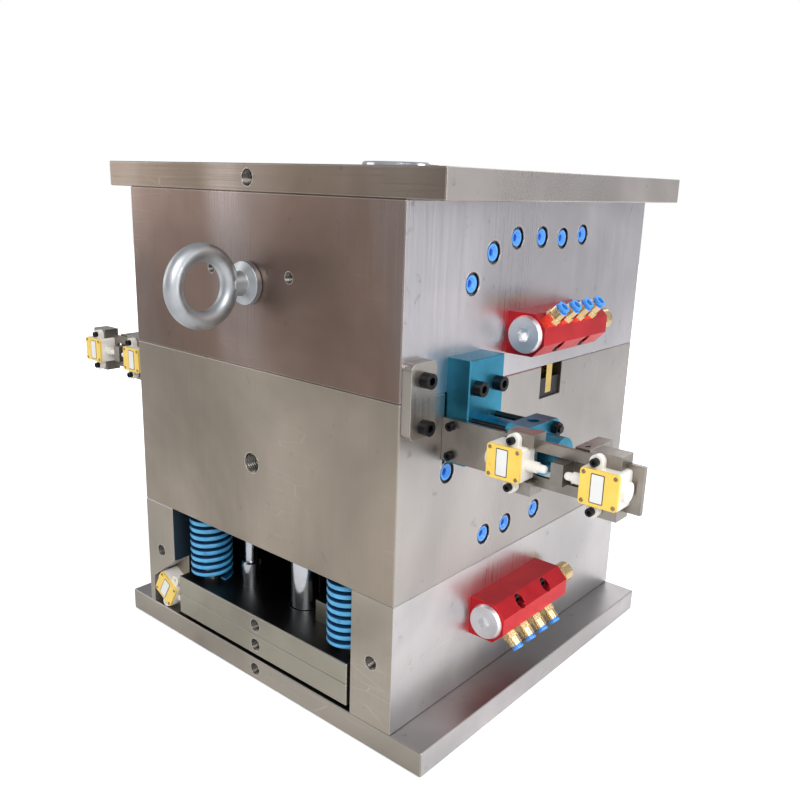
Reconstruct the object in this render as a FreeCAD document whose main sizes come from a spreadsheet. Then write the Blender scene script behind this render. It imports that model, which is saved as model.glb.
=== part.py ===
import FreeCAD, Part
import os
import re
import Sketcher

# Injection mould, closed, standing on its moving half.
# Frame: origin at the centre of the bottom clamp plate's underside, +Z the opening direction,
# +X the side with the water manifolds, -Y the front with the eye bolt.  Millimetres.

doc = FreeCAD.newDocument("MouldBase")
sheet = doc.addObject("Spreadsheet::Sheet", "Dimensions")

SIZES = [
    # plates of the mould base
    ("mould_width", 450, "plate width along X"),
    ("mould_depth", 510, "plate depth along Y"),
    ("clamp_overhang", 45, "clamp plate beyond the mould, each X side"),
    ("clamp_thickness", 30, "both clamp plates"),
    ("spacer_height", 155, "spacer blocks"),
    ("spacer_width", 60, "spacer blocks"),
    ("b_thickness", 220, "B plate"),
    ("a_thickness", 195, "A plate"),
    ("plate_bevel", 1, "bevel round every plate"),
    ("stack_gap", 0.05, "parting line gap at rest"),
    # ejector set
    ("rest_height", 5, "rest buttons under the ejector plate"),
    ("rest_gap", 0.1, "rest buttons to the ejector plate"),
    ("ejector_thickness", 28, "ejector plate"),
    ("retainer_thickness", 26, "ejector retainer plate"),
    ("ejector_side_gap", 7, "ejector plates to each spacer block"),
    ("ejector_end_inset", 1, "ejector plates behind each end of the mould"),
    # alignment
    ("guide_pin_inset", 40, "leader pins from the mould's sides and ends"),
    ("guide_pin_diameter", 35, "leader pins"),
    ("guide_fit", 0.05, "radial running fit of pins in bushings"),
    ("bushing_diameter", 48, "leader pin bushings"),
    ("pin_head", 5, "head of a shouldered pin, beyond its shank"),
    ("head_height", 8, "head height of shouldered pins and bushings"),
    # return pins and springs
    ("return_pin_side", 28, "return pins from the ejector plates' sides"),
    ("return_pin_end", 35, "return pins from the ejector plates' ends"),
    ("return_pin_diameter", 25, "return pins"),
    ("spring_diameter", 56, "return springs, outside"),
    ("spring_wire_width", 10, "flat wire, radial"),
    ("spring_wire_height", 5.6, "flat wire, along the axis"),
    ("spring_turns", 12, "turns of each return spring"),
    ("spring_pocket", 34, "depth of the spring pockets in the B plate"),
    # support and ejector guidance
    ("pillar_diameter", 38, "support pillars"),
    ("end_pillar_x", 22, "end pillars from the centre, along X"),
    ("end_pillar_inset", 67, "end pillars from the mould's ends"),
    ("pillar_x", 75, "inner pillars from the centre, along X"),
    ("pillar_y", 70, "inner pillars from the centre, along Y"),
    ("rest_x", 130, "rest buttons from the centre, along X"),
    ("rest_inset", 105, "rest buttons from the mould's ends"),
    ("rest_diameter", 20, "rest buttons"),
    ("ejector_guide_x", 72, "ejector guide pins from the centre, along X"),
    ("ejector_guide_inset", 55, "ejector guide pins from the ejector plates' ends"),
    ("ejector_guide_diameter", 16, "ejector guide pins"),
    ("ejector_bush_diameter", 25, "ejector guide bushings"),
    ("ejector_bush_rise", 34, "bushing above the retainer plate"),
    ("ejector_pin_diameter", 8, "ejector pins"),
    ("ejector_pin_head", 3, "head of an ejector pin, beyond its shank"),
    ("pin_x", 45, "ejector pins from the centre, along X"),
    ("pin_inner_y", 45, "inner ejector pins from the centre, along Y"),
    ("pin_outer_y", 125, "outer ejector pins from the centre, along Y"),
    ("stop_size", 20, "stroke stop blocks, square"),
    ("stop_height", 28, "stroke stop blocks"),
    # inserts and product form
    ("insert_side_gap", 15, "inserts to the slides, each X side"),
    ("insert_end", 70, "inserts from the mould's ends"),
    ("insert_depth", 90, "insert pockets below and above the parting line"),
    ("form_side_wall", 30, "insert beside the moulded form, each X side"),
    ("form_end_wall", 20, "insert beyond the moulded form, each end"),
    ("form_depth", 60, "depth of the moulded form"),
    ("form_wall", 3, "wall of the moulding"),
    # feed
    ("sprue_diameter", 20, "sprue bushing shank"),
    ("sprue_head", 40, "sprue bushing head"),
    ("ring_diameter", 100, "locating ring"),
    ("ring_rise", 10, "locating ring above the clamp plate"),
    ("ring_sink", 5, "locating ring in the clamp plate"),
    ("ring_spigot", 90, "locating ring's spigot in the clamp plate"),
    ("ring_bevel", 2, "bevel round the locating ring's top"),
    ("knockout_diameter", 50, "knock-out bore in the bottom clamp plate"),
    # front threads
    ("lift_thread", 24, "lifting threads of the A and B plates"),
    ("a_lift_z", 97, "eye bolt above the parting line"),
    ("b_lift_z", 114.5, "lifting thread below the parting line"),
    ("tap_depth", 45, "depth of the lifting threads"),
    ("side_thread", 16, "threads in clamp plates, spacers and ejector plates"),
    # eye bolt
    ("eye_diameter", 72, "eye, centre line"),
    ("eye_bar", 20, "eye bar"),
    ("eye_reach", 63, "eye centre from the plate"),
    ("eye_collar", 48, "eye bolt collar"),
    # core pulls
    ("pull_inset", 106, "cylinder axis from the mould's front"),
    ("pull_drop", 47, "cylinder axis below the parting line"),
    ("block_width", 62, "cylinder block and cap along Y"),
    ("block_reach", 29, "cylinder block along X"),
    ("block_rise", 38, "cylinder block above the parting line"),
    ("cap_height", 58, "cylinder cap along Z"),
    ("cap_start", 75, "cap from the mould side, along X"),
    ("cap_length", 25, "cap along X"),
    ("barrel_diameter", 46, "cylinder barrel"),
    ("tie_rod_diameter", 8, "tie rods"),
    ("tie_rod_y", 22, "tie rods from the cylinder axis, along Y"),
    ("tie_rod_z", 19.5, "tie rods from the cylinder axis, along Z"),
    ("piston_rod_diameter", 18, "piston rod"),
    ("gland_diameter", 38, "rear rod gland"),
    ("core_travel", 4.5, "core pull stroke between the switches"),
    ("gland_length", 25, "rear rod gland along X"),
    ("block_screw_y", 18.5, "block screws from the cylinder axis, along Y"),
    ("block_screw_rise", 8, "block screws above the parting line"),
    ("tail_length", 8, "piston rod beyond the dog arm"),
    # slides that carry the side cores
    ("slide_length", 60, "slide along X"),
    ("slide_width", 52, "slide along Y"),
    ("slide_rise", 22, "slide in the A plate"),
    ("slide_fit", 0.05, "slide in its way, each side"),
    ("slide_inset", 45, "slide from the mould side"),
    ("slide_leg", 44, "leg of the slide along Y"),
    ("way_wall", 30, "A plate between slide way and mould side"),
    ("key_width", 5, "key of the slide, each side"),
    ("key_height", 8, "key of the slide"),
    ("slot_gap", 7, "clearance of the slide in the B plate's slot, each side"),
    ("slot_depth", 79, "core pull slot in the B plate"),
    ("nose_width", 20, "core block in the insert, along Y"),
    ("nose_drop", 10, "core block below the cylinder axis"),
    ("nose_gap", 0.3, "core block to the insert"),
    ("core_width", 12, "side core tip along Y"),
    ("core_height", 14, "side core tip along Z"),
    ("rod_engagement", 20, "piston rod in the slide"),
    # switch bracket and switches
    ("bracket_reach", 225, "bracket along X"),
    ("bracket_height", 46, "bracket along Z"),
    ("bracket_thickness", 5, "bracket plate"),
    ("bracket_drop", 48.5, "bracket centre below the parting line"),
    ("slot_start", 113, "bracket slot from the mould side"),
    ("slot_length", 56, "bracket slot"),
    ("slot_height", 24.5, "bracket slot"),
    ("dog_start", 140, "dog from the mould side"),
    ("dog_width", 13, "dog along X"),
    ("dog_height", 22, "dog along Z"),
    ("dog_rise", 15, "dog in front of the bracket"),
    ("arm_thickness", 15, "dog arm along X"),
    ("arm_width", 46, "dog arm along Y"),
    ("arm_height", 45, "dog arm along Z"),
    ("arm_inset", 1.5, "dog arm behind the bracket"),
    ("bracket_screw_x", 13, "bracket screws from the mould side"),
    ("bracket_screw_z", 16, "bracket screws from the bracket's middle"),
    ("slot_corner", 4, "corner radius of the bracket slot"),
    ("switch_width", 39, "limit switch along X"),
    ("switch_height", 35, "limit switch along Z"),
    ("switch_depth", 22, "limit switch body"),
    ("cover_thickness", 3, "limit switch cover"),
    ("inner_switch_start", 74, "inner switch from the mould side"),
    ("outer_switch_start", 175, "outer switch from the mould side"),
    ("plunger_diameter", 8, "switch plunger"),
    ("switch_rise", 1, "switches above the bracket's middle"),
    ("switch_corner", 3, "corner radius of the switch"),
    ("plunger_line", 12, "plunger in front of the bracket"),
    ("nose_length", 12, "plunger bushing of a switch"),
    ("nose_diameter", 11, "plunger bushing of a switch"),
    ("plug_diameter", 19, "closed cable entry of a switch"),
    ("plug_length", 4, "closed cable entry of a switch"),
    ("ear_diameter", 13, "fixing ears of a switch"),
    ("ear_inset", 13, "fixing ears from the plunger side"),
    ("ear_rise", 6, "fixing ear's centre above the switch"),
    ("ear_screw", 5, "switch fixing screws"),
    ("ear_screw_grip", 8, "switch fixing screws in the clamps"),
    ("switch_gap", 0.3, "switch to its clamps"),
    ("clamp_length", 30, "switch clamp along X"),
    ("clamp_lip", 13, "switch clamp in front of the bracket"),
    ("clamp_height", 8.5, "upper switch clamp above the bracket"),
    ("clamp_drop", 7, "lower switch clamp below the bracket"),
    ("hook_depth", 4, "clamp hook over the bracket's rear face"),
    ("hook_gap", 0.5, "clamp hook to the tie rods' ends"),
    ("tie_rod_end", 9, "tie rods beyond the rear cap"),
    ("clamp_hook", 4, "switch clamp behind the bracket"),
    ("notch_top", 80, "switch notch at the spacer's inner side, above its foot"),
    ("notch_low", 40, "switch notch at its outer end, above the spacer's foot"),
    ("notch_width", 51, "switch notch along X"),
    ("notch_depth", 23, "switch notch along Y"),
    ("tilt", 30, "ejector switch, degrees below the level"),
    ("tilted_gap", 12, "ejector switch plunger root from the ejector plate's side"),
    ("tilted_z", 50.5, "ejector switch plunger root above the floor"),
    ("tilted_nose", 5, "plunger bushing of the ejector switch"),
    ("touch_gap", 0.4, "plunger to dog, and pin to plate, at rest"),
    # water fittings
    ("manifold_size", 48, "manifold across its flats"),
    ("manifold_chamfer", 14, "manifold outer bevels"),
    ("manifold_length", 145, "manifold along Y"),
    ("manifold_bore", 20, "manifold gallery"),
    ("manifold_thread", 8, "manifold screws"),
    ("manifold_screw", 16, "manifold screws from its middle, along Z"),
    ("manifold_screw_y", 29, "manifold screws from its middle, along Y"),
    ("manifold_seat", 30, "manifold under the screw heads"),
    ("plug_flange", 43, "manifold end plug"),
    ("plug_rise", 5, "manifold end plug"),
    ("end_fitting", 32, "hose fitting at the manifold's rear end"),
    ("end_fitting_length", 38, "hose fitting at the manifold's rear end"),
    ("upper_manifold_y", 1.5, "upper manifold centre"),
    ("upper_manifold_rise", 52, "upper manifold above the parting line"),
    ("lower_manifold_y", -40.5, "lower manifold centre"),
    ("lower_manifold_z", 121, "lower manifold centre"),
    ("fitting_pitch", 28, "push-in fittings along the manifold"),
    ("fitting_shift", -7, "fitting row from the manifold centre"),
    ("fitting_flats", 17, "push-in fitting hexagon"),
    ("fitting_thread", 12, "push-in fitting thread"),
    ("fitting_hexagon", 7, "push-in fitting hexagon, height"),
    ("fitting_length", 17, "push-in fitting body"),
    ("collet_rise", 5, "release collet above the fitting"),
    ("collet_diameter", 14, "release collet of a push-in fitting"),
    ("tube_diameter", 8, "water tube"),
    ("port_recess", 25, "recess of a plate port"),
    ("port_depth", 6, "recess depth of a plate port"),
    ("port_sleeve", 21.5, "sleeve of a plate port"),
    ("sleeve_length", 14, "plate port sleeve beyond its recess"),
    ("sleeve_sink", 3, "plate port sleeve behind the plate face"),
    ("port_collet", 18.4, "release collet of a plate port"),
    # transport strap
    ("strap_width", 40, "strap along Y"),
    ("strap_thickness", 12, "strap along X"),
    ("strap_corner", 8, "strap corner radius"),
    ("strap_gap", 0.1, "strap to plate"),
    ("strap_below", 36, "strap below the parting line"),
    ("strap_above", 42, "strap above the parting line"),
    ("strap_inset", 22, "strap centre from the mould's front"),
    ("strap_screw", 24, "strap screws from the parting line"),
    # side lock
    ("lock_y", 35, "side lock centre along Y"),
    ("lock_width", 50, "side lock pocket along Y"),
    ("lock_height", 41, "side lock pocket below the parting line"),
    ("lock_depth", 30, "side lock pocket along X"),
    ("lock_setback", 3, "side lock behind the plate face"),
    ("tongue_width", 13, "side lock tongue along Y"),
    ("lock_fit", 0.1, "side lock tongue to body, each side"),
    ("lock_cheek", 24, "side lock body above the pocket floor"),
    ("lock_floor", 4, "side lock body under the groove"),
    ("tongue_head", 8, "side lock tongue's head in the A plate"),
    ("tongue_head_width", 30, "side lock tongue's head along Y"),
    # screws
    ("big_screw", 20, "clamp plate screws"),
    ("strap_thread", 10, "strap, block and manifold screws"),
    ("small_thread", 6, "bracket and switch screws"),
]

for row, (alias, value, note) in enumerate(SIZES, start=1):
    sheet.set(f"A{row}", alias)
    sheet.set(f"B{row}", str(value))
    sheet.setAlias(f"B{row}", alias)
    sheet.set(f"C{row}", note)
doc.recompute()

NAMES = {alias for alias, _, _ in SIZES}
VALUES = {alias: float(sheet.get(alias)) for alias in NAMES}

# Heights and places used by many pieces, written once as formulas on the sheet's values.
LEVELS = {
    "z_spacer": "(clamp_thickness)",
    "z_b": "(clamp_thickness + spacer_height)",
    "z_part": "(clamp_thickness + spacer_height + b_thickness)",
    "z_a": "(clamp_thickness + spacer_height + b_thickness + stack_gap)",
    "z_top": "(clamp_thickness + spacer_height + b_thickness + stack_gap + a_thickness)",
    "z_ejector": "(clamp_thickness + rest_height)",
    "z_retainer": "(clamp_thickness + rest_height + ejector_thickness)",
    "z_retainer_top": "(clamp_thickness + rest_height + ejector_thickness + retainer_thickness)",
    "z_pull": "(clamp_thickness + spacer_height + b_thickness - pull_drop)",
    "z_bracket": "(clamp_thickness + spacer_height + b_thickness - bracket_drop)",
    "side": "(mould_width / 2)",
    "front": "(mould_depth / 2)",
    "slide_start": "(mould_width / 2 - slide_inset - slide_length)",
    "guide_pin_x": "(mould_width / 2 - guide_pin_inset)",
    "guide_pin_y": "(mould_depth / 2 - guide_pin_inset)",
    "ejector_width": "(mould_width - 2 * spacer_width - 2 * ejector_side_gap)",
    "ejector_depth": "(mould_depth - 2 * ejector_end_inset)",
    "return_pin_x": "(mould_width / 2 - spacer_width - ejector_side_gap - return_pin_side)",
    "return_pin_y": "(mould_depth / 2 - ejector_end_inset - return_pin_end)",
    "ejector_guide_y": "(mould_depth / 2 - ejector_end_inset - ejector_guide_inset)",
    "end_pillar_y": "(mould_depth / 2 - end_pillar_inset)",
    "strap_y": "(mould_depth / 2 - strap_inset)",
    "tilted_x": "(mould_width / 2 - spacer_width - ejector_side_gap + tilted_gap)",
    "bracket_front": "(0 - pull_y - block_width / 2 - bracket_thickness)",
    "pull_y": "(mould_depth / 2 - pull_inset)",
    "rest_y": "(mould_depth / 2 - rest_inset)",
    "insert_x": "(mould_width / 2 - slide_inset - slide_length - insert_side_gap)",
    "insert_y": "(mould_depth / 2 - insert_end)",
    "form_x": "(mould_width / 2 - slide_inset - slide_length - insert_side_gap - form_side_wall)",
    "form_y": "(mould_depth / 2 - insert_end - form_end_wall)",
}


def expand(text):
    """Put the sheet's name before each of its values in a formula."""
    text = str(text)
    for name, formula in LEVELS.items():
        text = re.sub(rf"\b{name}\b", formula, text)
    return re.sub(r"\b[a-z]\w*\b", lambda m: f"Dimensions.{m[0]}" if m[0] in NAMES else m[0], text)


def size(text):
    """Value of a formula, for the pieces that are made by Part's own functions."""
    text = str(text)
    for name, formula in LEVELS.items():
        text = re.sub(rf"\b{name}\b", formula, text)
    text = re.sub(r"\b[a-z]\w*\b", lambda m: f"({VALUES[m[0]]})" if m[0] in NAMES else m[0], text)
    return FreeCAD.Units.Quantity(text).Value


def bind(thing, **formulas):
    """Bind properties to formulas; x, y, z mean the placement."""
    for prop, formula in formulas.items():
        path = {"x": "Placement.Base.x", "y": "Placement.Base.y", "z": "Placement.Base.z"}.get(prop, prop)
        thing.setExpression(path, expand(formula))
    return thing


def turn(thing, axis, angle):
    thing.Placement.Rotation = FreeCAD.Rotation(FreeCAD.Vector(*axis), angle)
    return thing


# ---------------------------------------------------------------- primitives and booleans

AXES = {"x": ((0, 1, 0), 90), "-x": ((0, 1, 0), -90), "y": ((1, 0, 0), -90), "-y": ((1, 0, 0), 90)}


def rod(name, diameter, length, x, y, z, axis="z"):
    """Cylinder that starts at x, y, z and runs along the axis."""
    piece = doc.addObject("Part::Cylinder", name)
    if axis in AXES:
        turn(piece, *AXES[axis])
    return bind(piece, Radius=f"({diameter}) / 2", Height=length, x=x, y=y, z=z)


def cone(name, start, end, length, x, y, z, axis="z"):
    piece = doc.addObject("Part::Cone", name)
    if axis in AXES:
        turn(piece, *AXES[axis])
    return bind(piece, Radius1=f"({start}) / 2", Radius2=f"({end}) / 2", Height=length, x=x, y=y, z=z)


def box(name, length, width, height, x, y, z):
    """Box whose lowest corner is x, y, z."""
    piece = doc.addObject("Part::Box", name)
    return bind(piece, Length=length, Width=width, Height=height, x=x, y=y, z=z)


def hexagon(name, flats, length, x, y, z, axis="z"):
    piece = doc.addObject("Part::Prism", name)
    piece.Polygon = 6
    if axis in AXES:
        turn(piece, *AXES[axis])
    return bind(piece, Circumradius=f"({flats}) / sqrt(3)", Height=length, x=x, y=y, z=z)


def fuse(name, *pieces):
    result = doc.addObject("Part::MultiFuse", name)
    result.Shapes = list(pieces)
    return result


def cut(name, base, *tools):
    result = doc.addObject("Part::Cut", name)
    result.Base = base
    result.Tool = tools[0] if len(tools) == 1 else fuse(name + "_tools", *tools)
    return result


def group(name, *pieces):
    """Separate solids that share a node."""
    result = doc.addObject("Part::Compound", name)
    result.Links = list(pieces)
    return result


def mirrored(name, piece):
    """The same piece on the other X side."""
    result = doc.addObject("Part::Mirroring", name)
    result.Source = piece
    result.Normal = FreeCAD.Vector(1, 0, 0)
    return result


SHANK_TURNS = {
    "-z": ((1, 0, 0), 0), "z": ((1, 0, 0), 180), "-x": ((0, 1, 0), 90), "x": ((0, 1, 0), -90),
    "y": ((1, 0, 0), 90), "-y": ((1, 0, 0), -90),
}


def socket_screw(name, thread, length, x, y, z, axis="-z"):
    """Socket head cap screw, its head seated at x, y, z and its shank running along the axis."""
    head = rod(name + "_head", f"({thread}) * 1.6", thread, "0", "0", "0")
    shank = rod(name + "_shank", thread, length, "0", "0", f"-({length})")
    socket = hexagon(name + "_socket", f"({thread}) * 0.8", thread, "0", "0", f"({thread}) * 0.45")
    screw = cut(name, fuse(name + "_blank", head, shank), socket)
    turn(screw, *SHANK_TURNS[axis])
    return bind(screw, x=x, y=y, z=z)


# ---------------------------------------------------------------- PartDesign helpers

NODES = []


def node(label, thing):
    """Name a finished sub-part."""
    thing.Label = label
    NODES.append(thing)
    return thing


def plane(body, role):
    return next(f for f in body.Origin.OriginFeatures if f.Role == role)


def sketch(body, name, role, offset="0"):
    drawing = body.newObject("Sketcher::SketchObject", name)
    drawing.AttachmentSupport = [(plane(body, role), "")]
    drawing.MapMode = "FlatFace"
    drawing.setExpression("AttachmentOffset.Base.z", expand(offset))
    return drawing


def fix(drawing, kind, geometry, point, formula):
    """Hold one coordinate of a point at a formula's value."""
    value = size(formula)
    index = drawing.addConstraint(Sketcher.Constraint(kind, -1, 1, geometry, point, value))
    drawing.setExpression(f"Constraints[{index}]", expand(formula))


def outline(drawing, points):
    """Closed outline through points, each held by two formulas."""
    places = [FreeCAD.Vector(size(u), size(v), 0) for u, v in points]
    first = drawing.GeometryCount
    count = len(points)
    for i in range(count):
        drawing.addGeometry(Part.LineSegment(places[i], places[(i + 1) % count]), False)
    for i in range(count):
        here, after = first + i, first + (i + 1) % count
        drawing.addConstraint(Sketcher.Constraint("Coincident", here, 2, after, 1))
    for i, (u, v) in enumerate(points):
        fix(drawing, "DistanceX", first + i, 1, u)
        fix(drawing, "DistanceY", first + i, 1, v)


def rectangle(drawing, left, low, right, high):
    outline(drawing, [(left, low), (right, low), (right, high), (left, high)])


def circle(drawing, u, v, diameter):
    place = FreeCAD.Vector(size(u), size(v), 0)
    index = drawing.addGeometry(Part.Circle(place, FreeCAD.Vector(0, 0, 1), size(diameter) / 2), False)
    fix(drawing, "DistanceX", index, 3, u)
    fix(drawing, "DistanceY", index, 3, v)
    held = drawing.addConstraint(Sketcher.Constraint("Diameter", index, size(diameter)))
    drawing.setExpression(f"Constraints[{held}]", expand(diameter))


def pad(body, name, drawing, length):
    feature = body.newObject("PartDesign::Pad", name)
    feature.Profile = drawing
    feature.setExpression("Length", expand(length))
    body.Tip = feature
    return feature


def pocket(body, name, drawing, depth, onward=False):
    """Pocket against the sketch's normal, or along it when onward is set."""
    feature = body.newObject("PartDesign::Pocket", name)
    feature.Profile = drawing
    feature.Reversed = onward
    feature.setExpression("Length", expand(depth))
    body.Tip = feature
    return feature


def new_body(name):
    return doc.addObject("PartDesign::Body", name)


def plate(name, width, depth, thickness, z):
    """Plate centred on the axis, its bottom at z, bevelled round its four corners and both faces."""
    body = new_body(name)
    drawing = sketch(body, name + "_outline", "XY_Plane")
    w, d, c = f"({width}) / 2", f"({depth}) / 2", "plate_bevel"
    outline(drawing, [
        (f"-{w} + {c}", f"-{d}"), (f"{w} - {c}", f"-{d}"), (w, f"-{d} + {c}"), (w, f"{d} - {c}"),
        (f"{w} - {c}", d), (f"-{w} + {c}", d), (f"-{w}", f"{d} - {c}"), (f"-{w}", f"-{d} + {c}"),
    ])
    block = pad(body, name + "_block", drawing, thickness)
    doc.recompute()
    rims = [f"Face{i + 1}" for i, face in enumerate(block.Shape.Faces)
            if abs(face.normalAt(0, 0).z) > 0.9]
    bevel = body.newObject("PartDesign::Chamfer", name + "_bevel")
    bevel.Base = (block, rims)
    bevel.setExpression("Size", expand("plate_bevel"))
    body.Tip = bevel
    body.setExpression("Placement.Base.z", expand(z))
    return body


def drill(body, name, role, offset, holes, depth, onward=False):
    """Round holes (u, v, diameter) from a plane of the body."""
    drawing = sketch(body, name + "_sketch", role, offset)
    for u, v, diameter in holes:
        circle(drawing, u, v, diameter)
    return pocket(body, name, drawing, depth, onward)


def four(x, y, diameter):
    return [(f"{i} * ({x})", f"{j} * ({y})", diameter) for i in (-1, 1) for j in (-1, 1)]


# ---------------------------------------------------------------- moving half: plates

def bottom_clamp_plate():
    body = plate("bottom_clamp_plate", "mould_width + 2 * clamp_overhang", "mould_depth",
                 "clamp_thickness", "0")
    drill(body, "knockout_bore", "XY_Plane", "0", [("0", "0", "knockout_diameter")],
          "clamp_thickness", True)
    drill(body, "screw_bores", "XY_Plane", "0", base_screw_places("big_screw + 2"), "clamp_thickness", True)
    drill(body, "screw_seats", "XY_Plane", "0", base_screw_places("big_screw * 1.6 + 2"),
          "big_screw + 2", True)
    drill(body, "front_thread", "XZ_Plane", "front", [("0", "clamp_thickness / 2", "side_thread")], "30")
    drill(body, "rear_thread", "XZ_Plane", "-front", [("0", "clamp_thickness / 2", "side_thread")],
          "30", True)
    return node("bottom_clamp_plate", body)


def base_screw_places(diameter):
    return four("side - spacer_width / 2", "mould_depth * 0.32", diameter)


def spacer_block(name, sign):
    """Spacer block of one side; its local frame is the mould's."""
    body = new_body(name)
    drawing = sketch(body, name + "_outline", "XY_Plane")
    inner, outer = f"{sign} * (side - spacer_width)", f"{sign} * side"
    low, high = sorted((inner, outer), key=size)
    rectangle(drawing, low, "-front", high, "front")
    block = pad(body, name + "_block", drawing, "spacer_height")
    doc.recompute()
    bevel = body.newObject("PartDesign::Chamfer", name + "_bevel")
    bevel.Base = (block, [f"Face{i + 1}" for i, face in enumerate(block.Shape.Faces)
                          if abs(face.normalAt(0, 0).z) > 0.9])
    bevel.setExpression("Size", expand("plate_bevel"))
    body.Tip = bevel
    middle = f"{sign} * (side - spacer_width / 2)"
    drill(body, name + "_screw_bores", "XY_Plane", "0",
          [(middle, f"{j} * mould_depth * 0.32", "big_screw + 2") for j in (-1, 1)],
          "spacer_height", True)
    drill(body, name + "_front_thread", "XZ_Plane", "front",
          [(middle, f"spacer_height / 2 + {8 if sign < 0 else 0}", "side_thread")], "35")
    drill(body, name + "_rear_thread", "XZ_Plane", "-front", [(middle, "spacer_height / 2", "side_thread")],
          "35", True)
    return body


def left_spacer_block():
    body = spacer_block("left_spacer_block", -1)
    notch = sketch(body, "switch_notch_outline", "XZ_Plane", "front")
    inner = "-(side - spacer_width)"
    outline(notch, [(f"{inner} + 1", "notch_top"), (f"{inner} - notch_width", "notch_low"),
                    (f"{inner} - notch_width", "-1"), (f"{inner} + 1", "-1")])
    pocket(body, "switch_notch", notch, "notch_depth")
    body.setExpression("Placement.Base.z", expand("z_spacer"))
    return node("left_spacer_block", body)


def right_spacer_block():
    body = spacer_block("right_spacer_block", 1)
    drill(body, "manifold_threads", "YZ_Plane", "side",
          [(f"lower_manifold_y + {j} * manifold_screw_y", "lower_manifold_z + manifold_screw - z_spacer",
            "manifold_thread") for j in (-1, 1)], "25")
    body.setExpression("Placement.Base.z", expand("z_spacer"))
    return node("right_spacer_block", body)


# Water ports in the mould's right side: place along Y, and height from the parting line.
A_PORTS = [(-143, 110), (-107, 141), (-62, 155), (-10, 154.5), (37, 152), (85, 155)]
B_PORTS = [(-172, -90), (-94, -186.5), (-48, -186.5), (18, -186.5)]

PIN_PLACES = [(x, y) for x in ("-pin_x", "pin_x")
              for y in ("-pin_outer_y", "-pin_inner_y", "pin_inner_y", "pin_outer_y")]
PILLARS = [("end_pillar_x", "-end_pillar_y"), ("-end_pillar_x", "end_pillar_y")]
PILLARS += [(x, y) for x in ("-pillar_x", "pillar_x") for y in ("-pillar_y", "pillar_y")]
REST_PLACES = [(x, y) for x in ("-rest_x", "0", "rest_x") for y in ("-rest_y", "rest_y")]


def b_plate():
    body = plate("b_plate", "mould_width", "mould_depth", "b_thickness", "z_b")
    top = "b_thickness"
    opening = sketch(body, "insert_pocket_outline", "XY_Plane", top)
    rectangle(opening, "-insert_x", "-insert_y", "insert_x", "insert_y")
    pocket(body, "insert_pocket", opening, "insert_depth")
    for sign, side_name in ((1, "right"), (-1, "left")):
        slot = sketch(body, side_name + "_core_slot_outline", "XY_Plane", top)
        near, far = sorted((f"{sign} * (insert_x - 1)", f"{sign} * (side + 1)"), key=size)
        rectangle(slot, near, "-pull_y - slide_width / 2 - slot_gap", far,
                  "-pull_y + slide_width / 2 + slot_gap")
        pocket(body, side_name + "_core_slot", slot, "slot_depth")
    lock = sketch(body, "lock_pocket_outline", "XY_Plane", top)
    rectangle(lock, "side - lock_depth", "lock_y - lock_width / 2", "side + 1", "lock_y + lock_width / 2")
    pocket(body, "lock_pocket", lock, "lock_height")
    drill(body, "guide_pin_bores", "XY_Plane", "0",
          four("guide_pin_x", "guide_pin_y", "guide_pin_diameter"), "b_thickness", True)
    drill(body, "guide_head_seats", "XY_Plane", "0",
          four("guide_pin_x", "guide_pin_y", "guide_pin_diameter + 2 * pin_head"), "head_height", True)
    drill(body, "return_pin_bores", "XY_Plane", "0",
          four("return_pin_x", "return_pin_y", "return_pin_diameter + 2 * guide_fit"),
          "b_thickness", True)
    drill(body, "spring_pockets", "XY_Plane", "0",
          four("return_pin_x", "return_pin_y", "spring_diameter + 3"), "spring_pocket", True)
    drill(body, "ejector_pin_bores", "XY_Plane", "0",
          [(x, y, "ejector_pin_diameter + 1") for x, y in PIN_PLACES],
          "b_thickness - insert_depth + 1", True)
    drill(body, "ejector_guide_seats", "XY_Plane", "0",
          [(f"{i} * ejector_guide_x", f"{i} * ejector_guide_y", "ejector_guide_diameter")
           for i in (-1, 1)], "15", True)
    drill(body, "clamp_threads", "XY_Plane", "0", base_screw_places("big_screw"), "40", True)
    drill(body, "front_lifting_thread", "XZ_Plane", "front",
          [("0", "b_thickness - b_lift_z", "lift_thread")], "tap_depth")
    drill(body, "rear_lifting_thread", "XZ_Plane", "-front",
          [("0", "b_thickness - b_lift_z", "lift_thread")], "tap_depth", True)
    drill(body, "port_recesses", "YZ_Plane", "side",
          [(str(y), f"b_thickness + ({rise})", "port_recess") for y, rise in B_PORTS], "port_depth")
    drill(body, "port_channels", "YZ_Plane", "side",
          [(str(y), f"b_thickness + ({rise})", "port_sleeve") for y, rise in B_PORTS],
          "port_depth + sleeve_length")
    drill(body, "strap_thread_bore", "YZ_Plane", "side",
          [("-strap_y", "b_thickness - strap_screw", "strap_thread")], "20")
    return node("b_plate", body)


def b_insert():
    """Insert of the moving half: the form's cavity, open up, with a gap for each side core."""
    blank = box("b_insert_blank", "2 * insert_x", "2 * insert_y", "insert_depth",
                "-insert_x", "-insert_y", "z_part - insert_depth")
    cavity = box("b_insert_cavity", "2 * form_x", "2 * form_y", "form_depth + 1",
                 "-form_x", "-form_y", "z_part - form_depth")
    tools = [cavity]
    for sign, near in ((1, "form_x - 1"), (-1, "-insert_x - 1")):
        tools.append(box("b_insert_core_gap", "insert_x - form_x + 2", "nose_width + 2 * nose_gap",
                         "pull_drop + nose_drop + nose_gap + 1", near,
                         "-pull_y - nose_width / 2 - nose_gap", "z_pull - nose_drop - nose_gap"))
    for x, y in PIN_PLACES:
        tools.append(rod("b_insert_pin_bore", "ejector_pin_diameter + 2 * guide_fit", "insert_depth",
                         x, y, "z_part - insert_depth - 1"))
    return node("b_insert", cut("b_insert_cut", blank, *tools))


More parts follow.
